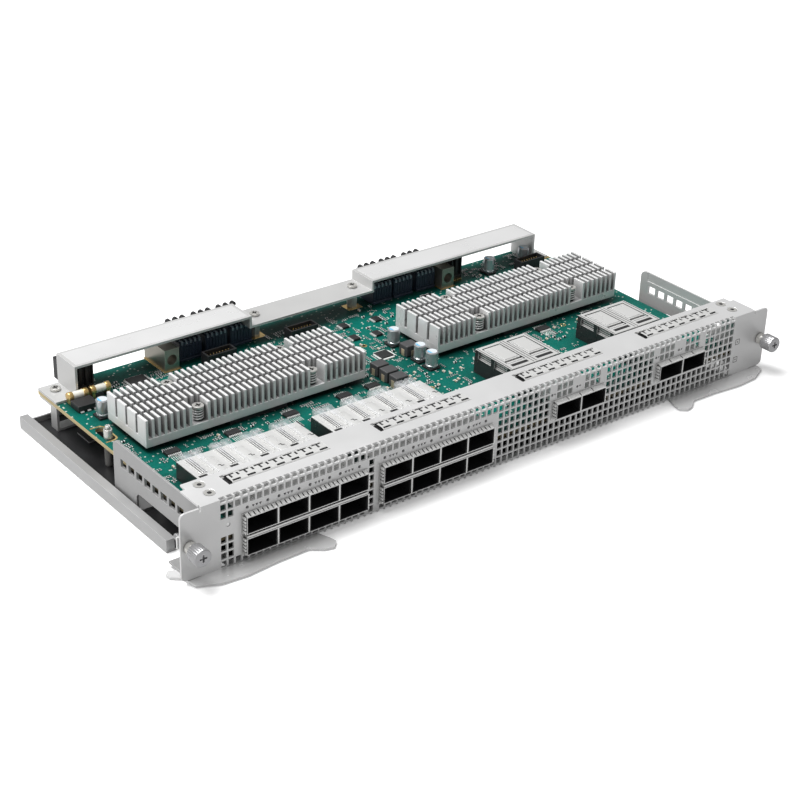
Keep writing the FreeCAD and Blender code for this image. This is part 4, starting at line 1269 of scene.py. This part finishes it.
def make_light_pipes(letter):
    node = "light_pipes_" + letter
    bars = parts_of(node)
    x0, y0, z0, x1, y1, z1 = bars[0]
    thick = x1 - x0
    bend_y, bend_z = y1 - PIPE_BEND, z1 - PIPE_BEND
    outer = arc_points(bend_y, bend_z, PIPE_BEND, 0, 1)
    inner = arc_points(bend_y, bend_z, PIPE_BEND - thick, 1, 0)
    outline = [(y1, z0)] + outer + [(y0, z1), (y0, z1 - thick)] + inner + [(y1 - thick, z0)]
    bar = bevel_edges(sweep_outline("bar", outline, x0, x1), 0.2, 2, 50)
    copy_to(bar, [(box[0], 0, 0) for box in bars], (x0, 0, 0))
    crown = z1 + PIPE_HUMP
    arch = arc_points(bend_y - 0.5, bend_z + PIPE_HUMP, PIPE_BEND + PIPE_HUMP, 0.25, 1.0)
    outline = ([(y1 - 0.4, bend_z)] + arch
               + [(y1 - 11, crown - 0.6), (y1 - 12, z1 + 0.1), (y1 - 12, bend_z)])
    middles = port_middles(span("collar_" + letter), 4)
    x = middles[0]
    holder = sweep_outline("holder", outline, x - HOLDER_HALF, x + HOLDER_HALF)
    cut_away(holder, box_piece("groove", x - GROOVE_HALF, x + GROOVE_HALF, y1 - 14, y1 + 1,
                               z1 - 2.2, z1 + 3))
    bevel_edges(holder, 0.35, 2, 50)
    copy_to(holder, [(middle, 0, 0) for middle in middles], (x, 0, 0))
    pipes = smooth(join_pieces("clear_pipes_" + letter, [bar, holder]), 50)
    finish_piece(pipes, CLEAR)
    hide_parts(node)


make_light_pipes("a")
make_light_pipes("b")

# %% [markdown]
# ## Heat sinks that ride on the single-row cages
#
# Each rider is a stack of thin plates with a raised field and a narrow bar on top. The spring
# clip's window leaves both bare. A black sheet on the clip's front bar is painted shade for its
# slot, black seam lines are painted shade for the gaps between the clips, and a black block in
# each stack is painted shade between its plates.

# %% Riders
RIDER_LAYERS = 3
LAYER_GAP = 0.6
PANEL_RISE = 1.0
FIELD_INSET = 2.1
REAR_FIELD = (10.3, 29.7)
FRONT_BAR = (7.1, 8.7)
CLIP_SLOT = (2.3, 5.0)
SEAM_PLACES = (1.1, -1.1)
SEAM_WIDTH = 0.5


def make_riders(letter):
    node = "riding_heat_sinks_" + letter
    clip = span("heat_sink_clip_" + letter)
    on_clip = (clip[5] - 0.1, clip[5] + 0.06)
    bright, shade_pieces = [], []
    for x0, y0, z0, x1, y1, z1 in parts_of(node):
        top = z1 - PANEL_RISE
        layer = (top - z0) / RIDER_LAYERS
        for low in (z0 + level * layer for level in range(RIDER_LAYERS)):
            bright.append(box_piece("layer", x0, x1, y0, y1, low, low + layer - LAYER_GAP))
        # Painted shade: a black block inside the stack darkens the gaps between the plates.
        shade_pieces.append(box_piece("core", x0 + 0.9, x1 - 0.9, y0 + 0.9, y1 - 0.9, z0 + 0.1, top + 0.05))
        left, right = x0 + FIELD_INSET, x1 - FIELD_INSET
        front, back = y0 + REAR_FIELD[0], y0 + REAR_FIELD[1]
        for inset, rise in ((0, 0.6), (1.2, 0.9)):
            bright.append(box_piece("field", left + inset, right - inset, front + inset,
                                    back - inset, top, z1 + rise))
        bright.append(box_piece("bar", left, right, y0 + FRONT_BAR[0], y0 + FRONT_BAR[1],
                                top, z1 + 0.5))
        shade_pieces.append(box_piece("slot", left, right, y0 + CLIP_SLOT[0], y0 + CLIP_SLOT[1], *on_clip))
    # Painted shade: black seams stand for the gaps between the clips.
    middle = (clip[0] + clip[3]) / 2
    for x in (middle + SEAM_PLACES[0], middle + SEAM_PLACES[1],
              clip[0] + SEAM_PLACES[0], clip[3] + SEAM_PLACES[1]):
        shade_pieces.append(box_piece("seam", x - SEAM_WIDTH / 2, x + SEAM_WIDTH / 2,
                              clip[1] + 0.6, clip[4] - 0.6, *on_clip))
    riders = join_pieces("layered_riders_" + letter, [bevel_edges(p, 0.22) for p in bright])
    finish_piece(riders, LID)
    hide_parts(node)
    finish_piece(bevel_edges(join_pieces("rider_shade_" + letter, shade_pieces), 0.05, 1), BLACK)


make_riders("c")
make_riders("d")

# %% [markdown]
# ## Cans, coils and fuses
#
# A capacitor is a turned shape: its half outline is spun round with the screw modifier. A coil is
# a moulded block with tin ends. A fuse is a ceramic rod with brass caps in a brass clip.

# %% A half outline spun to a piece
WELD_REACH = 0.000005


def turned_piece(name, outline, x, y, steps=32):
    """Spins a half outline of (radius, z) places round an upright axis."""
    points = [Vector((radius * MM, 0, corner.z + z * MM)) for radius, z in outline]
    piece = mesh_piece(name, points, [(k, k + 1) for k in range(len(points) - 1)], [])
    modify(piece, "SCREW", steps=steps, render_steps=steps, use_merge_vertices=True,
           merge_threshold=WELD_REACH)
    piece.data.transform(Matrix.Translation(at(x, y, 0) - Vector((0, 0, at(0, 0, 0).z))))
    run_on_all((bpy.ops.mesh.remove_doubles, {"threshold": WELD_REACH}), FACE_OUTWARD)
    return piece


# %% Capacitors
CAP_PRINT = make_material("Cap print", (0.10, 0.42, 0.66), (0.3, 0.6, 0.8), 0.0, 0.35, 0.05)
CAP_TOP = make_material("Cap top", (0.80, 0.86, 0.90), (0.95, 0.97, 1.0), 0.35, 0.25, 0.03)
CAN_FOOT = 1.3
CAN_RADIUS = 3.95


def can_outline(start, top):
    r = CAN_RADIUS
    return [(0, start), (r - 0.4, start), (r, start + 0.4), (r, start + 1.3),
            (r - 0.35, start + 1.6), (r - 0.35, start + 1.9), (r, start + 2.2), (r, top - 0.6),
            (r - 0.35, top - 0.15), (r - 0.8, top), (0, top)]


def make_capacitors():
    boxes = parts_of("capacitors")
    x, y = middle_of(boxes[0])[:2]
    x0, y0, low, x1, y1, top = boxes[0]
    foot = box_piece("capacitor_feet", x0, x1, y0, y1, low, low + CAN_FOOT)
    round_corners(foot, 1.2, lambda px, py, pz: (
        abs(pz - low - CAN_FOOT / 2) < 0.1 and px > x and py < y), 1)
    bevel_edges(foot, 0.15, 1)
    can = turned_piece("capacitor_cans", can_outline(low + CAN_FOOT, top), x, y)
    rim = CAN_RADIUS - 0.9
    disc = turned_piece("capacitor_tops", [
        (0, top), (rim, top), (rim, top + 0.06), (0, top + 0.06)], x, y)
    patch = round_piece("capacitor_prints", CAN_RADIUS - 1.0, x, y, top + 0.03, 0.08)
    cut_away(patch, box_piece("rest", x - 1.6, x + 5, y - 5, y + 5, top - 1, top + 1))
    places = [middle_of(box)[:2] + (0,) for box in boxes]
    for piece, material in ((foot, BLACK), (can, CAN), (disc, CAP_TOP), (patch, CAP_PRINT)):
        copy_to(piece, places, (x, y, 0))
        finish_piece(smooth(piece, 30), material)
    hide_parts("capacitors")


make_capacitors()


# %% Coils
COIL = make_material("Coil body", (0.060, 0.060, 0.062), grey(0.18), 0.1, 0.55, 0.3)
COPPER = make_material("Tinned copper", (0.70, 0.55, 0.38), (0.9, 0.8, 0.66), 0.7, 0.35, 0.08)


def make_coils():
    bodies, ends = [], []
    for x0, y0, z0, x1, y1, z1 in parts_of("inductors"):
        body = box_piece("body", x0 + 0.15, x1 - 0.15, y0 + 0.15, y1 - 0.15, z0 + 0.2, z1)
        bodies.append(bevel_edges(body, 0.55))
        x, y = (x0 + x1) / 2, (y0 + y1) / 2
        ends += [box_piece("end", left, left + 0.4, y - 1.5, y + 1.5, z0, z0 + 4.6)
                 for left in (x0, x1 - 0.4)]
        ends.append(box_piece("end", x - 1.0, x + 1.0, y0, y0 + 0.3, z0, z0 + 4.0))
    coils = finish_piece(join_pieces("moulded_coils", bodies), COIL)
    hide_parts("inductors")
    finish_piece(bevel_edges(join_pieces("coil_ends", ends), 0.1, 1), COPPER)


make_coils()

# %% Fuses and the relay
FUSE_RADIUS = 2.8
CAP_LENGTH = 3.2
RELAY_TABS = 3
RELAY_TAB_PITCH = 4.4


def make_fuses():
    rods, caps = [], []
    for x0, y0, z0, x1, y1, z1 in parts_of("fuses"):
        y, z = (y0 + y1) / 2, z1 - FUSE_RADIUS
        rod = round_piece("rod", FUSE_RADIUS - 0.45, x0 + 1, y, z, x1 - x0 - 2, "X")
        rods.append(bevel_edges(rod, 0.1, 1, 50))
        for x in (x0, x1 - CAP_LENGTH):
            cap = round_piece("cap", FUSE_RADIUS, x, y, z, CAP_LENGTH, "X")
            clip = box_piece("clip", x + 0.5, x + CAP_LENGTH - 0.5, y - 2.2, y + 2.2, z0, z)
            caps += [bevel_edges(cap, 0.35, 2, 50), bevel_edges(clip, 0.3, 1)]
    finish_piece(smooth(join_pieces("fuse_rods", rods)), CERAMIC)
    cap_set = finish_piece(smooth(join_pieces("fuse_caps", caps)), BRASS)
    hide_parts("fuses")


def make_relay():
    x0, y0, z0, x1, y1, z1 = span("relay")
    body = bevel_edges(box_piece("moulded_relay", x0, x1, y0 + 1.2, y1, z0 + 0.3, z1), 0.35)
    finish_piece(body, CHIP)
    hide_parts("relay")
    tab = box_piece("relay_tabs", x0 + 1.0, x0 + 3.2, y0, y0 + 1.6, z0, z0 + 1.0)
    repeat(bevel_edges(tab, 0.2, 1), RELAY_TABS, (RELAY_TAB_PITCH, 0, 0))
    finish_piece(tab, SPRING)


make_fuses()
make_relay()

# %% Header pins
HEADER_PITCH = 2.2
HEADER_COLUMNS = 8
HEADER_ROW = 1.3
PIN_HALF = 0.33


def make_header_pins():
    made = []
    for box in parts_of("pin_headers"):
        x, y = middle_of(box)[:2]
        x -= HEADER_PITCH * (HEADER_COLUMNS - 1) / 2
        for row in (y - HEADER_ROW, y + HEADER_ROW):
            pin = slab("pin", x, PIN_HALF, row, PIN_HALF, box[2] + 1, box[5] - 1.6)
            made.append(repeat(bevel_edges(pin, 0.15, 1), HEADER_COLUMNS, (HEADER_PITCH, 0, 0)))
    finish_piece(join_pieces("header_pins", made), GOLD)


make_header_pins()

# %% [markdown]
# ## Chips and small parts
#
# A populated board is crowded. Chips get rows of pins at two or four sides. The many tiny
# resistors and capacitors stand in short straight rows, as a layout tool would set them, and
# never where a larger part stands. The rows are drawn from a fixed seed.

# %% Chips
BOARD_FACE = span("main_board")[5]
DATA_CHIPS = [(50.9, 91.9), (90.8, 91.0), (130.8, 90.4), (169.8, 91.0), (191.5, 91.6),
              (330.8, 92.5), (372.0, 92.0)]
TURNED_CHIPS = [(250.2, 165.0), (237.8, 147.6), (222.0, 150.6), (226.5, 168.5), (290.0, 158.0),
                (345.0, 160.0)]
LARGE_CHIPS = [(79.0, 176.0, 12.0, 1.6), (379.0, 160.5, 12.0, 2.2), (223.0, 121.0, 9.0, 1.4),
               (62.0, 158.0, 8.0, 1.3), (120.0, 156.5, 9.0, 1.3), (176.0, 153.0, 8.0, 1.3),
               (300.0, 172.0, 8.0, 1.3), (212.0, 136.0, 7.0, 1.2)]
STANDING = """capacitors inductors fuses relay pin_headers heat_sink_left heat_sink_right
    cage_a_upper cage_b_upper cage_c cage_d light_pipes_a light_pipes_b guide_post
    backplane_sockets_left backplane_sockets_right guide_block_left guide_block_right
    power_socket_left power_socket_right stiffener_posts stiffener_screws"""
taken = []


def keep_clear(x0, x1, y0, y1, margin=0.6):
    taken.append((x0 - margin, x1 + margin, y0 - margin, y1 + margin))


def is_free(x0, x1, y0, y1):
    return all(x1 < a or x0 > b or y1 < c or y0 > d for a, b, c, d in taken)


for node_name in STANDING.split():
    for x0, y0, z0, x1, y1, z1 in parts_of(node_name):
        keep_clear(x0, x1, y0, y1)


def make_chip(x, y, width, depth, height, pins, pins_along_x):
    """A moulded chip and its two pin rows."""
    low = BOARD_FACE
    body = slab("chip", x, width / 2, y, depth / 2, low + 0.1, low + height)
    run = (width if pins_along_x else depth) - 1.2
    step = run / (pins - 1)
    rows = []
    for side in (-1, 1):
        if pins_along_x:
            place = (x - run / 2, 0.25, y + side * (depth / 2 + 0.5), 0.8)
        else:
            place = (x + side * (width / 2 + 0.5), 0.8, y - run / 2, 0.25)
        pin = slab("pin", *place, low, low + height * 0.55)
        rows.append(repeat(pin, pins, (step, 0, 0) if pins_along_x else (0, step, 0)))
    keep_clear(x - width / 2 - 1, x + width / 2 + 1, y - depth / 2 - 1, y + depth / 2 + 1)
    return bevel_edges(body, 0.18, 1), rows


def make_chips():
    made = [make_chip(x, y, 9.0, 5.0, 1.7, 8, True) for x, y in DATA_CHIPS]
    made += [make_chip(x, y, 5.0, 6.2, 1.5, 6, False) for x, y in TURNED_CHIPS]
    for x, y, size, height in LARGE_CHIPS:
        made.append(make_chip(x, y, size, size, height, 14, True))
        made.append(make_chip(x, y, size - 0.2, size, height - 0.1, 14, False))
    finish_piece(join_pieces("board_chips", [body for body, rows in made]), CHIP)
    pins = join_pieces("chip_pins", [row for body, rows in made for row in rows])
    finish_piece(bevel_edges(pins, 0.06, 1), TIN)
    print("chips:", len(made))


make_chips()

# %% Printed lines beside the chips
LINE_PITCH = 1.25
LINE_HALF = 0.15
LINE_COUNT = 6
LINE_RUNS = ((4.0, 6.3), (-9.0, -4.0))


def make_printed_lines():
    """Thin pale lines in front of and behind the data chips, and one at each side of the others."""
    made = []
    low, top = BOARD_FACE, BOARD_FACE + 0.06
    for x, y in DATA_CHIPS:
        start = x - LINE_PITCH * (LINE_COUNT - 1) / 2
        for front, back in LINE_RUNS:
            line = box_piece("line", start - LINE_HALF, start + LINE_HALF, y + front, y + back,
                             low, top)
            made.append(repeat(line, LINE_COUNT, (LINE_PITCH, 0, 0)))
    for x, y, size, height in LARGE_CHIPS:
        made += [slab("line", x + side * (size / 2 + 2.2), 0.2, y, size / 2, low, top)
                 for side in (-1, 1)]
    finish_piece(bevel_edges(join_pieces("printed_lines", made), 0.02, 1), WHITE)


make_printed_lines()

# %% Rows of tiny parts
TAN = make_material("Tan ceramic", (0.46, 0.33, 0.20), (0.6, 0.48, 0.34), 0.0, 0.45, 0.1)
ZONES = [(40, 206, 74.5, 97.5, 190), (196, 246, 60, 170, 210), (298, 338, 24, 97, 110),
         (384, 404, 24, 97, 60), (250, 402, 75, 97.5, 130), (40, 404, 144, 176, 360),
         (28.5, 37.5, 60, 120, 40), (58, 98, 176, 184, 34), (340, 400, 176, 198, 60),
         (168, 262, 172, 186, 70), (212, 252, 26, 60, 60)]
PART_SIZES = [(1.7, 0.85, 0.5), (2.1, 1.25, 1.0), (1.1, 0.6, 0.4)]
SIZE_SHARES = (0, 0, 1, 2)
STEP_ACROSS = 1.6
ZONE_TRIES = 900
END_SHARE = 0.24
BODY_SHARE = 0.98
random.seed(11)


def half_sizes(size, turned):
    length, width, height = PART_SIZES[size]
    return (width / 2, length / 2) if turned else (length / 2, width / 2)


def lay_rows():
    """Places for every size and direction, in short straight rows inside the zones."""
    found = {(size, turned): [] for size in range(len(PART_SIZES)) for turned in (False, True)}
    for x0, x1, y0, y1, count in ZONES:
        tries = 0
        while count > 0 and tries < ZONE_TRIES:
            tries += 1
            size = random.choice(SIZE_SHARES)
            turned = random.random() < 0.5
            run = random.randint(2, 6)
            x = random.uniform(x0, x1)
            y = random.uniform(y0, y1)
            half_x, half_y = half_sizes(size, turned)
            for index in range(run):
                px = x + (index * STEP_ACROSS if turned else 0)
                py = y + (0 if turned else index * STEP_ACROSS)
                box = (px - half_x, px + half_x, py - half_y, py + half_y)
                if box[1] > x1 or box[3] > y1 or not is_free(*box):
                    break
                keep_clear(*box, margin=0.35)
                found[size, turned].append((px, py, 0))
                count -= 1
    return found


def make_tiny_parts(name, size, turned, places, body_material):
    length, width, height = PART_SIZES[size]
    half_x, half_y = half_sizes(size, turned)
    low, top = BOARD_FACE, BOARD_FACE + height
    body = slab(name, 0, half_x * BODY_SHARE, 0, half_y * BODY_SHARE, low, top)
    half_end = length * END_SHARE / 2
    ends = []
    for side in (-1, 1):
        if turned:
            place = (0, half_x, side * (half_y - half_end), half_end)
        else:
            place = (side * (half_x - half_end), half_end, 0, half_y)
        ends.append(slab("end", *place, low, top + 0.04))
    tins = join_pieces(name + "_ends", ends)
    for piece, material in ((body, body_material), (tins, TIN)):
        finish_piece(copy_to(bevel_edges(piece, 0.06, 1), places), material)


def make_all_tiny_parts():
    total = 0
    for (size, turned), places in lay_rows().items():
        material = TAN if size == 1 and turned else CHIP
        name = "tiny_parts_%d_%s" % (size, "turned" if turned else "straight")
        make_tiny_parts(name, size, turned, places, material)
        total += len(places)
    print("tiny parts:", total)


make_all_tiny_parts()

# %% [markdown]
# ## Gold on the board
#
# Bare plated copper shows round the edge slot, under the screwed posts and as rings round
# three holes. These are thin plates on the board's face.

# %% Plated rings and pads
PLATE_RISE = 0.12
SLOT_RING = (26.6, 35.2, 122.4, 142.2)
RING_WIDTH = 1.1
RING_RADII = (2.1, 1.25)
RING_HOLES = ((220.3, 70.2), (220.8, 139.0), (346.8, 90.2))
PAD_MARGIN = 2.0
GUIDE_MARGIN = 1.2


def make_slot_ring(low, top):
    x0, x1, y0, y1 = SLOT_RING
    level, right = (low + top) / 2, x1 - RING_WIDTH
    ring = box_piece("slot_ring", x0, x1, y0, y1, low, top)
    hole = box_piece("slot_hole", x0 - 3, right, y0 + RING_WIDTH, y1 - RING_WIDTH, low - 1, top + 1)
    round_corners(ring, 3.6, lambda x, y, z: x > x1 - 0.1 and abs(z - level) < 0.01)
    round_corners(hole, 2.8, lambda x, y, z: x > right - 0.1 and abs(z - level) < 0.3)
    return cut_away(ring, hole)


def make_gold():
    low, top = BOARD_FACE, BOARD_FACE + PLATE_RISE
    made = [make_slot_ring(low, top)]
    outer, inner = RING_RADII
    for x, y in RING_HOLES:
        disc = round_piece("hole_ring", outer, x, y, low, top - low, sides=24)
        made.append(cut_away(disc, round_piece("hole", inner, x, y, low - 1, 3, sides=24)))
    for x0, y0, z0, x1, y1, z1 in parts_of("stiffener_posts"):
        made.append(box_piece("pad", x0 - PAD_MARGIN, x1 + PAD_MARGIN, y0 - PAD_MARGIN, y1 + 1,
                              low, top))
    for x0, y0, z0, x1, y1, z1 in parts_of("guide_block_left") + parts_of("guide_block_right"):
        made.append(box_piece("pad", x0 - GUIDE_MARGIN, x1 + GUIDE_MARGIN, y0 - GUIDE_MARGIN, y1,
                              low, top))
    x1, y1 = span("main_board")[3:5]
    made.append(box_piece("pad", x1 - 13, x1 - 0.3, y1 - 24, y1 - 20, low, top))
    finish_piece(bevel_edges(join_pieces("gold_plates", made), 0.03, 1, 60), GOLD)


make_gold()

# %% [markdown]
# ## Rear sockets
#
# The high-speed modules have upright ribs on the front and a row of sprung hooks along the top
# edge; behind the covers a few black arches just rise above the metal.

# %% Module ribs, hooks and arches
HOOK_METAL = make_material("Hook metal", (0.22, 0.26, 0.31), (0.75, 0.80, 0.86), 0.5, 0.35, 0.05)
MODULE_RIBS = 7
RIB_MARGIN = 0.35
MODULE_HOOKS = 5
MODULE_LOW = 31.5
HOOK = ((-0.5, -1.4), (-0.5, 0.5), (0.5, 1.4), (2.2, 1.1), (3.2, 0.1), (2.7, -0.4), (1.9, 0.4),
        (0.7, 0.5), (0.2, -0.1), (0.2, -1.4))
HOOK_HALF = 0.6
ARCHES = 3
ARCH_RADIUS = 1.75
ARCH_WALL = 0.8
ARCH_FRONT = 201.6


def make_module_details():
    ribs, hooks, arches = [], [], []
    boxes = parts_of("backplane_sockets_left") + parts_of("backplane_sockets_right")
    for x0, y0, z0, x1, y1, z1 in boxes:
        step = (x1 - x0 - 0.8) / MODULE_RIBS
        rib = box_piece("rib", x0 + 0.4 + RIB_MARGIN, x0 + 0.4 + step - RIB_MARGIN,
                        y0 - 0.5, y0 + 0.2, z0 + 2.6, MODULE_LOW - 2.2)
        skirt = box_piece("skirt", x0, x1, y0 - 1.3, y0 + 0.2, z0, z0 + 1.5)
        ribs += [repeat(bevel_edges(rib, 0.15, 1), MODULE_RIBS, (step, 0, 0)),
                 bevel_edges(skirt, 0.2, 1)]
        step = (x1 - x0) / MODULE_HOOKS
        middle = x0 + step / 2
        hook = sweep_outline("hook", [(y0 + y, MODULE_LOW + z) for y, z in HOOK],
                             middle - HOOK_HALF, middle + HOOK_HALF)
        hooks.append(repeat(hook, MODULE_HOOKS, (step, 0, 0)))
        step = (x1 - x0) / ARCHES
        middle, level = x0 + step / 2, z1 + 0.6
        arch = round_piece("arch", ARCH_RADIUS, middle, ARCH_FRONT, level, 2.6, "Y", 20)
        cut_away(arch, round_piece("bore", ARCH_RADIUS - ARCH_WALL, middle, ARCH_FRONT - 1.6,
                                   level, 6, "Y", 20))
        arches.append(repeat(arch, ARCHES, (step, 0, 0)))
    finish_piece(join_pieces("module_ribs", ribs), NAVY)
    finish_piece(bevel_edges(join_pieces("module_hooks", hooks), 0.08, 1, 60), HOOK_METAL)
    finish_piece(join_pieces("module_arches", arches), BLACK)


make_module_details()

# %% Power sockets
POWER_BACK_DROP = 4.2
COVER_BACK = span("rear_stiffener")[4]
GROOVE_SHARE = 0.27
POWER_PIN_PITCH = 1.6


def make_power_socket(side, grooves):
    x0, y0, z0, x1, y1, z1 = span("power_socket_" + side)
    back_top = z1 - POWER_BACK_DROP
    body = box_piece("grooved_power_" + side, x0, x1, y0, y1, z0, z1)
    cut_away(body, box_piece("drop", x0 - 1, x1 + 1, COVER_BACK - 1.5, y1 + 1, back_top, z1 + 1))
    step = (x1 - x0) / grooves
    half = step * GROOVE_SHARE
    for x in (x0 + step * (index + 0.5) for index in range(grooves)):
        cut_away(body, box_piece("groove", x - half, x + half, y0 - 1, y0 + 2.2,
                                 z0 + 3.4, z1 - 2.4))
        cut_away(body, box_piece("slot", x - 0.8, x + 0.8, y1 - 7, y1 + 1, z0 + 3, back_top - 1))
    finish_piece(bevel_edges(body, 0.3, 1, 60), BLACK)
    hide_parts("power_socket_" + side)
    pins = box_piece("power_pins_" + side, x0 + 0.5, x0 + 1.3, y0 - 2.0, y0 + 0.3, z0, z0 + 1.6)
    bevel_edges(pins, 0.1, 1)
    repeat(pins, int((x1 - x0) / POWER_PIN_PITCH), (POWER_PIN_PITCH, 0, 0))
    finish_piece(pins, GOLD)


make_power_socket("left", 3)
make_power_socket("right", 2)

# %% [markdown]
# ## Rail ends, films and marks
#
# The tray's side rails close at the front with a small folded tab under the lip. Each raised
# cover carries a faint pale film, inset from its edges. The right ear has two small printed
# squares. Films and marks are thin pieces laid on the metal.

# %% Rail end tabs
RAIL_OUTER = 9.7
RAIL_LIP = 5.4
RAIL_HEIGHT = 7.9
RAIL_FRONT = 31.0
TAB_SHEET = 0.8


def make_rail_tabs():
    low = span("base_tray")[2]
    tabs = []
    for x in (RAIL_OUTER, PANEL_WIDTH - RAIL_OUTER - RAIL_LIP):
        tab = box_piece("rail_tab", x + 0.3, x + RAIL_LIP - 0.1, RAIL_FRONT + 0.1,
                        RAIL_FRONT + TAB_SHEET, low + 0.3, low + RAIL_HEIGHT - 0.3)
        tabs.append(bevel_edges(tab, 0.15, 1))
    finish_piece(join_pieces("rail_end_tabs", tabs), TRAY)


make_rail_tabs()

# %% Films and marks
FILM = make_material("Cover film", grey(0.70), grey(0.9), 0.3, 0.30, 0.04)
INK = make_material("Grey ink", grey(0.015), grey(0.02), 0.0, 0.6, 0.05)
FILM_INSET = 2.2
EAR_MARKS = ((414.2, 24.8), (414.1, 12.3))
MARK_HALF = 1.9
MARK_LINE = 0.35


def top_faces(node):
    """The boxes (x0, x1, y0, y1) of the node's highest level faces, and their height."""
    top = span(node)[5]
    rows = []
    for points in face_places(node):
        if min(p.z for p in points) > top - 0.05:
            xs, ys = [p.x for p in points], [p.y for p in points]
            rows.append((min(xs), max(xs), min(ys), max(ys)))
    joined = []
    for x0, x1, y0, y1 in sorted(rows):
        if joined and x0 <= joined[-1][1] + 0.1:
            last = joined.pop()
            x0, x1, y0, y1 = last[0], max(last[1], x1), min(last[2], y0), max(last[3], y1)
        joined.append((x0, x1, y0, y1))
    return joined, top


def make_films():
    covers, top = top_faces("rear_stiffener")
    films = []
    for x0, x1, y0, y1 in covers:
        film = box_piece("film", x0 + FILM_INSET, x1 - FILM_INSET, y0 + FILM_INSET,
                         y1 - FILM_INSET, top - 0.05, top + 0.08)
        films.append(bevel_edges(film, 0.06, 1))
    finish_piece(join_pieces("cover_films", films), FILM)
    print("covers:", [[round(v, 1) for v in cover] for cover in covers])


def make_ear_marks():
    marks = []
    inner = MARK_HALF - MARK_LINE
    for x, z in EAR_MARKS:
        mark = box_piece("mark", x - MARK_HALF, x + MARK_HALF, -0.04, 0.02,
                         z - MARK_HALF, z + MARK_HALF)
        cut_away(mark, box_piece("inner", x - inner, x + inner, -1, 1, z - inner, z + inner))
        marks += [mark, round_piece("dot", 0.5, x, -0.04, z, 0.06, "Y", 12)]
    finish_piece(bevel_edges(join_pieces("ear_marks", marks), 0.01, 1), INK)


make_films()
make_ear_marks()

# %% [markdown]
# ## The studio
#
# The camera stands where the photographer's stood: the angles and the distance were worked out
# from the faceplate's corners in the photograph. Soft white light comes from all round with one
# large lamp above, and the floor is plain and pale.

# %% Camera
CAMERA_PLACE = Vector((-386.8, -653.4, 514.9))
YAW = math.radians(38.86)
PITCH = math.radians(28.13)
ROLL = math.radians(2.02)
FOCAL_PIXELS = 1760.7
PHOTO_PIXELS = 800
SENSOR = 36.0


def add_object(name, data):
    item = bpy.data.objects.new(name, data)
    bpy.context.collection.objects.link(item)
    return item


def add_camera():
    forward = Vector((math.sin(YAW) * math.cos(PITCH), math.cos(YAW) * math.cos(PITCH),
                      -math.sin(PITCH)))
    level = Vector((math.cos(YAW), -math.sin(YAW), 0))
    upright = level.cross(forward)
    right = math.cos(ROLL) * level + math.sin(ROLL) * upright
    up = -math.sin(ROLL) * level + math.cos(ROLL) * upright
    camera = add_object("photo_camera", bpy.data.cameras.new("photo_camera"))
    camera.data.sensor_width = SENSOR
    camera.data.lens = SENSOR * FOCAL_PIXELS / PHOTO_PIXELS
    turn = Matrix((right, up, -forward)).transposed()
    camera.matrix_world = Matrix.Translation(at(*CAMERA_PLACE)) @ turn.to_4x4()
    bpy.context.scene.camera = camera


add_camera()

# %% Light
LAMPS = {
    "key_light": ((-0.5, 0.35, 1.7), 1.0, 42),
    "left_light": ((-1.9, 0.1, 0.8), 0.8, 8),
    "front_fill": ((-0.5, -1.8, 0.7), 1.2, 2.2),
}
LAMP_TARGET = Vector((0, 0, 0.02))
WORLD_STRENGTH = 0.36


def add_lamps():
    for name, (place, size, power) in LAMPS.items():
        lamp = add_object(name, bpy.data.lights.new(name, "AREA"))
        lamp.data.size = size
        lamp.data.energy = power
        lamp.location = place
        lamp.rotation_euler = (LAMP_TARGET - Vector(place)).to_track_quat("-Z", "Y").to_euler()


def add_world():
    """Soft light from all round, and plain white where the camera sees past the floor."""
    world = bpy.data.worlds.new("studio")
    world.use_nodes = True
    bpy.context.scene.world = world
    tree = world.node_tree
    light = tree.nodes["Background"]
    feed_all(tree, light, {"Color": grey(1.0), "Strength": WORLD_STRENGTH})
    seen = add_node(tree, "ShaderNodeBackground", {"Color": grey(1.0)})
    path = add_node(tree, "ShaderNodeLightPath")
    mixed = add_node(tree, "ShaderNodeMixShader", {
        0: path.outputs["Is Camera Ray"], 1: light.outputs[0], 2: seen.outputs[0]})
    feed(tree, tree.nodes["World Output"].inputs[0], mixed.outputs[0])


# %% Floor
FLOOR_SIZE = 12
FLOOR_DROP = 0.0002
FLOOR_LIFT = 0.22


def add_floor():
    """A plain plane that is paler for the camera than for the light that it gives back."""
    deselect_all()
    bpy.ops.mesh.primitive_plane_add(size=FLOOR_SIZE, location=(0, 0, corner.z - FLOOR_DROP))
    floor = bpy.context.object
    floor.name = "floor"
    material, tree, shader = new_material("Pale floor")
    seen = add_node(tree, "ShaderNodeLightPath").outputs["Is Camera Ray"]
    feed_all(tree, shader, {
        "Roughness": 0.6, "Base Color": mix_colours(tree, seen, grey(0.50), grey(0.93)),
        "Emission Color": grey(1.0),
        "Emission Strength": add_math(tree, "MULTIPLY", seen, FLOOR_LIFT)})
    floor.data.materials.append(material)


add_world()
add_floor()
add_lamps()
bpy.context.scene.view_settings.view_transform = "Standard"
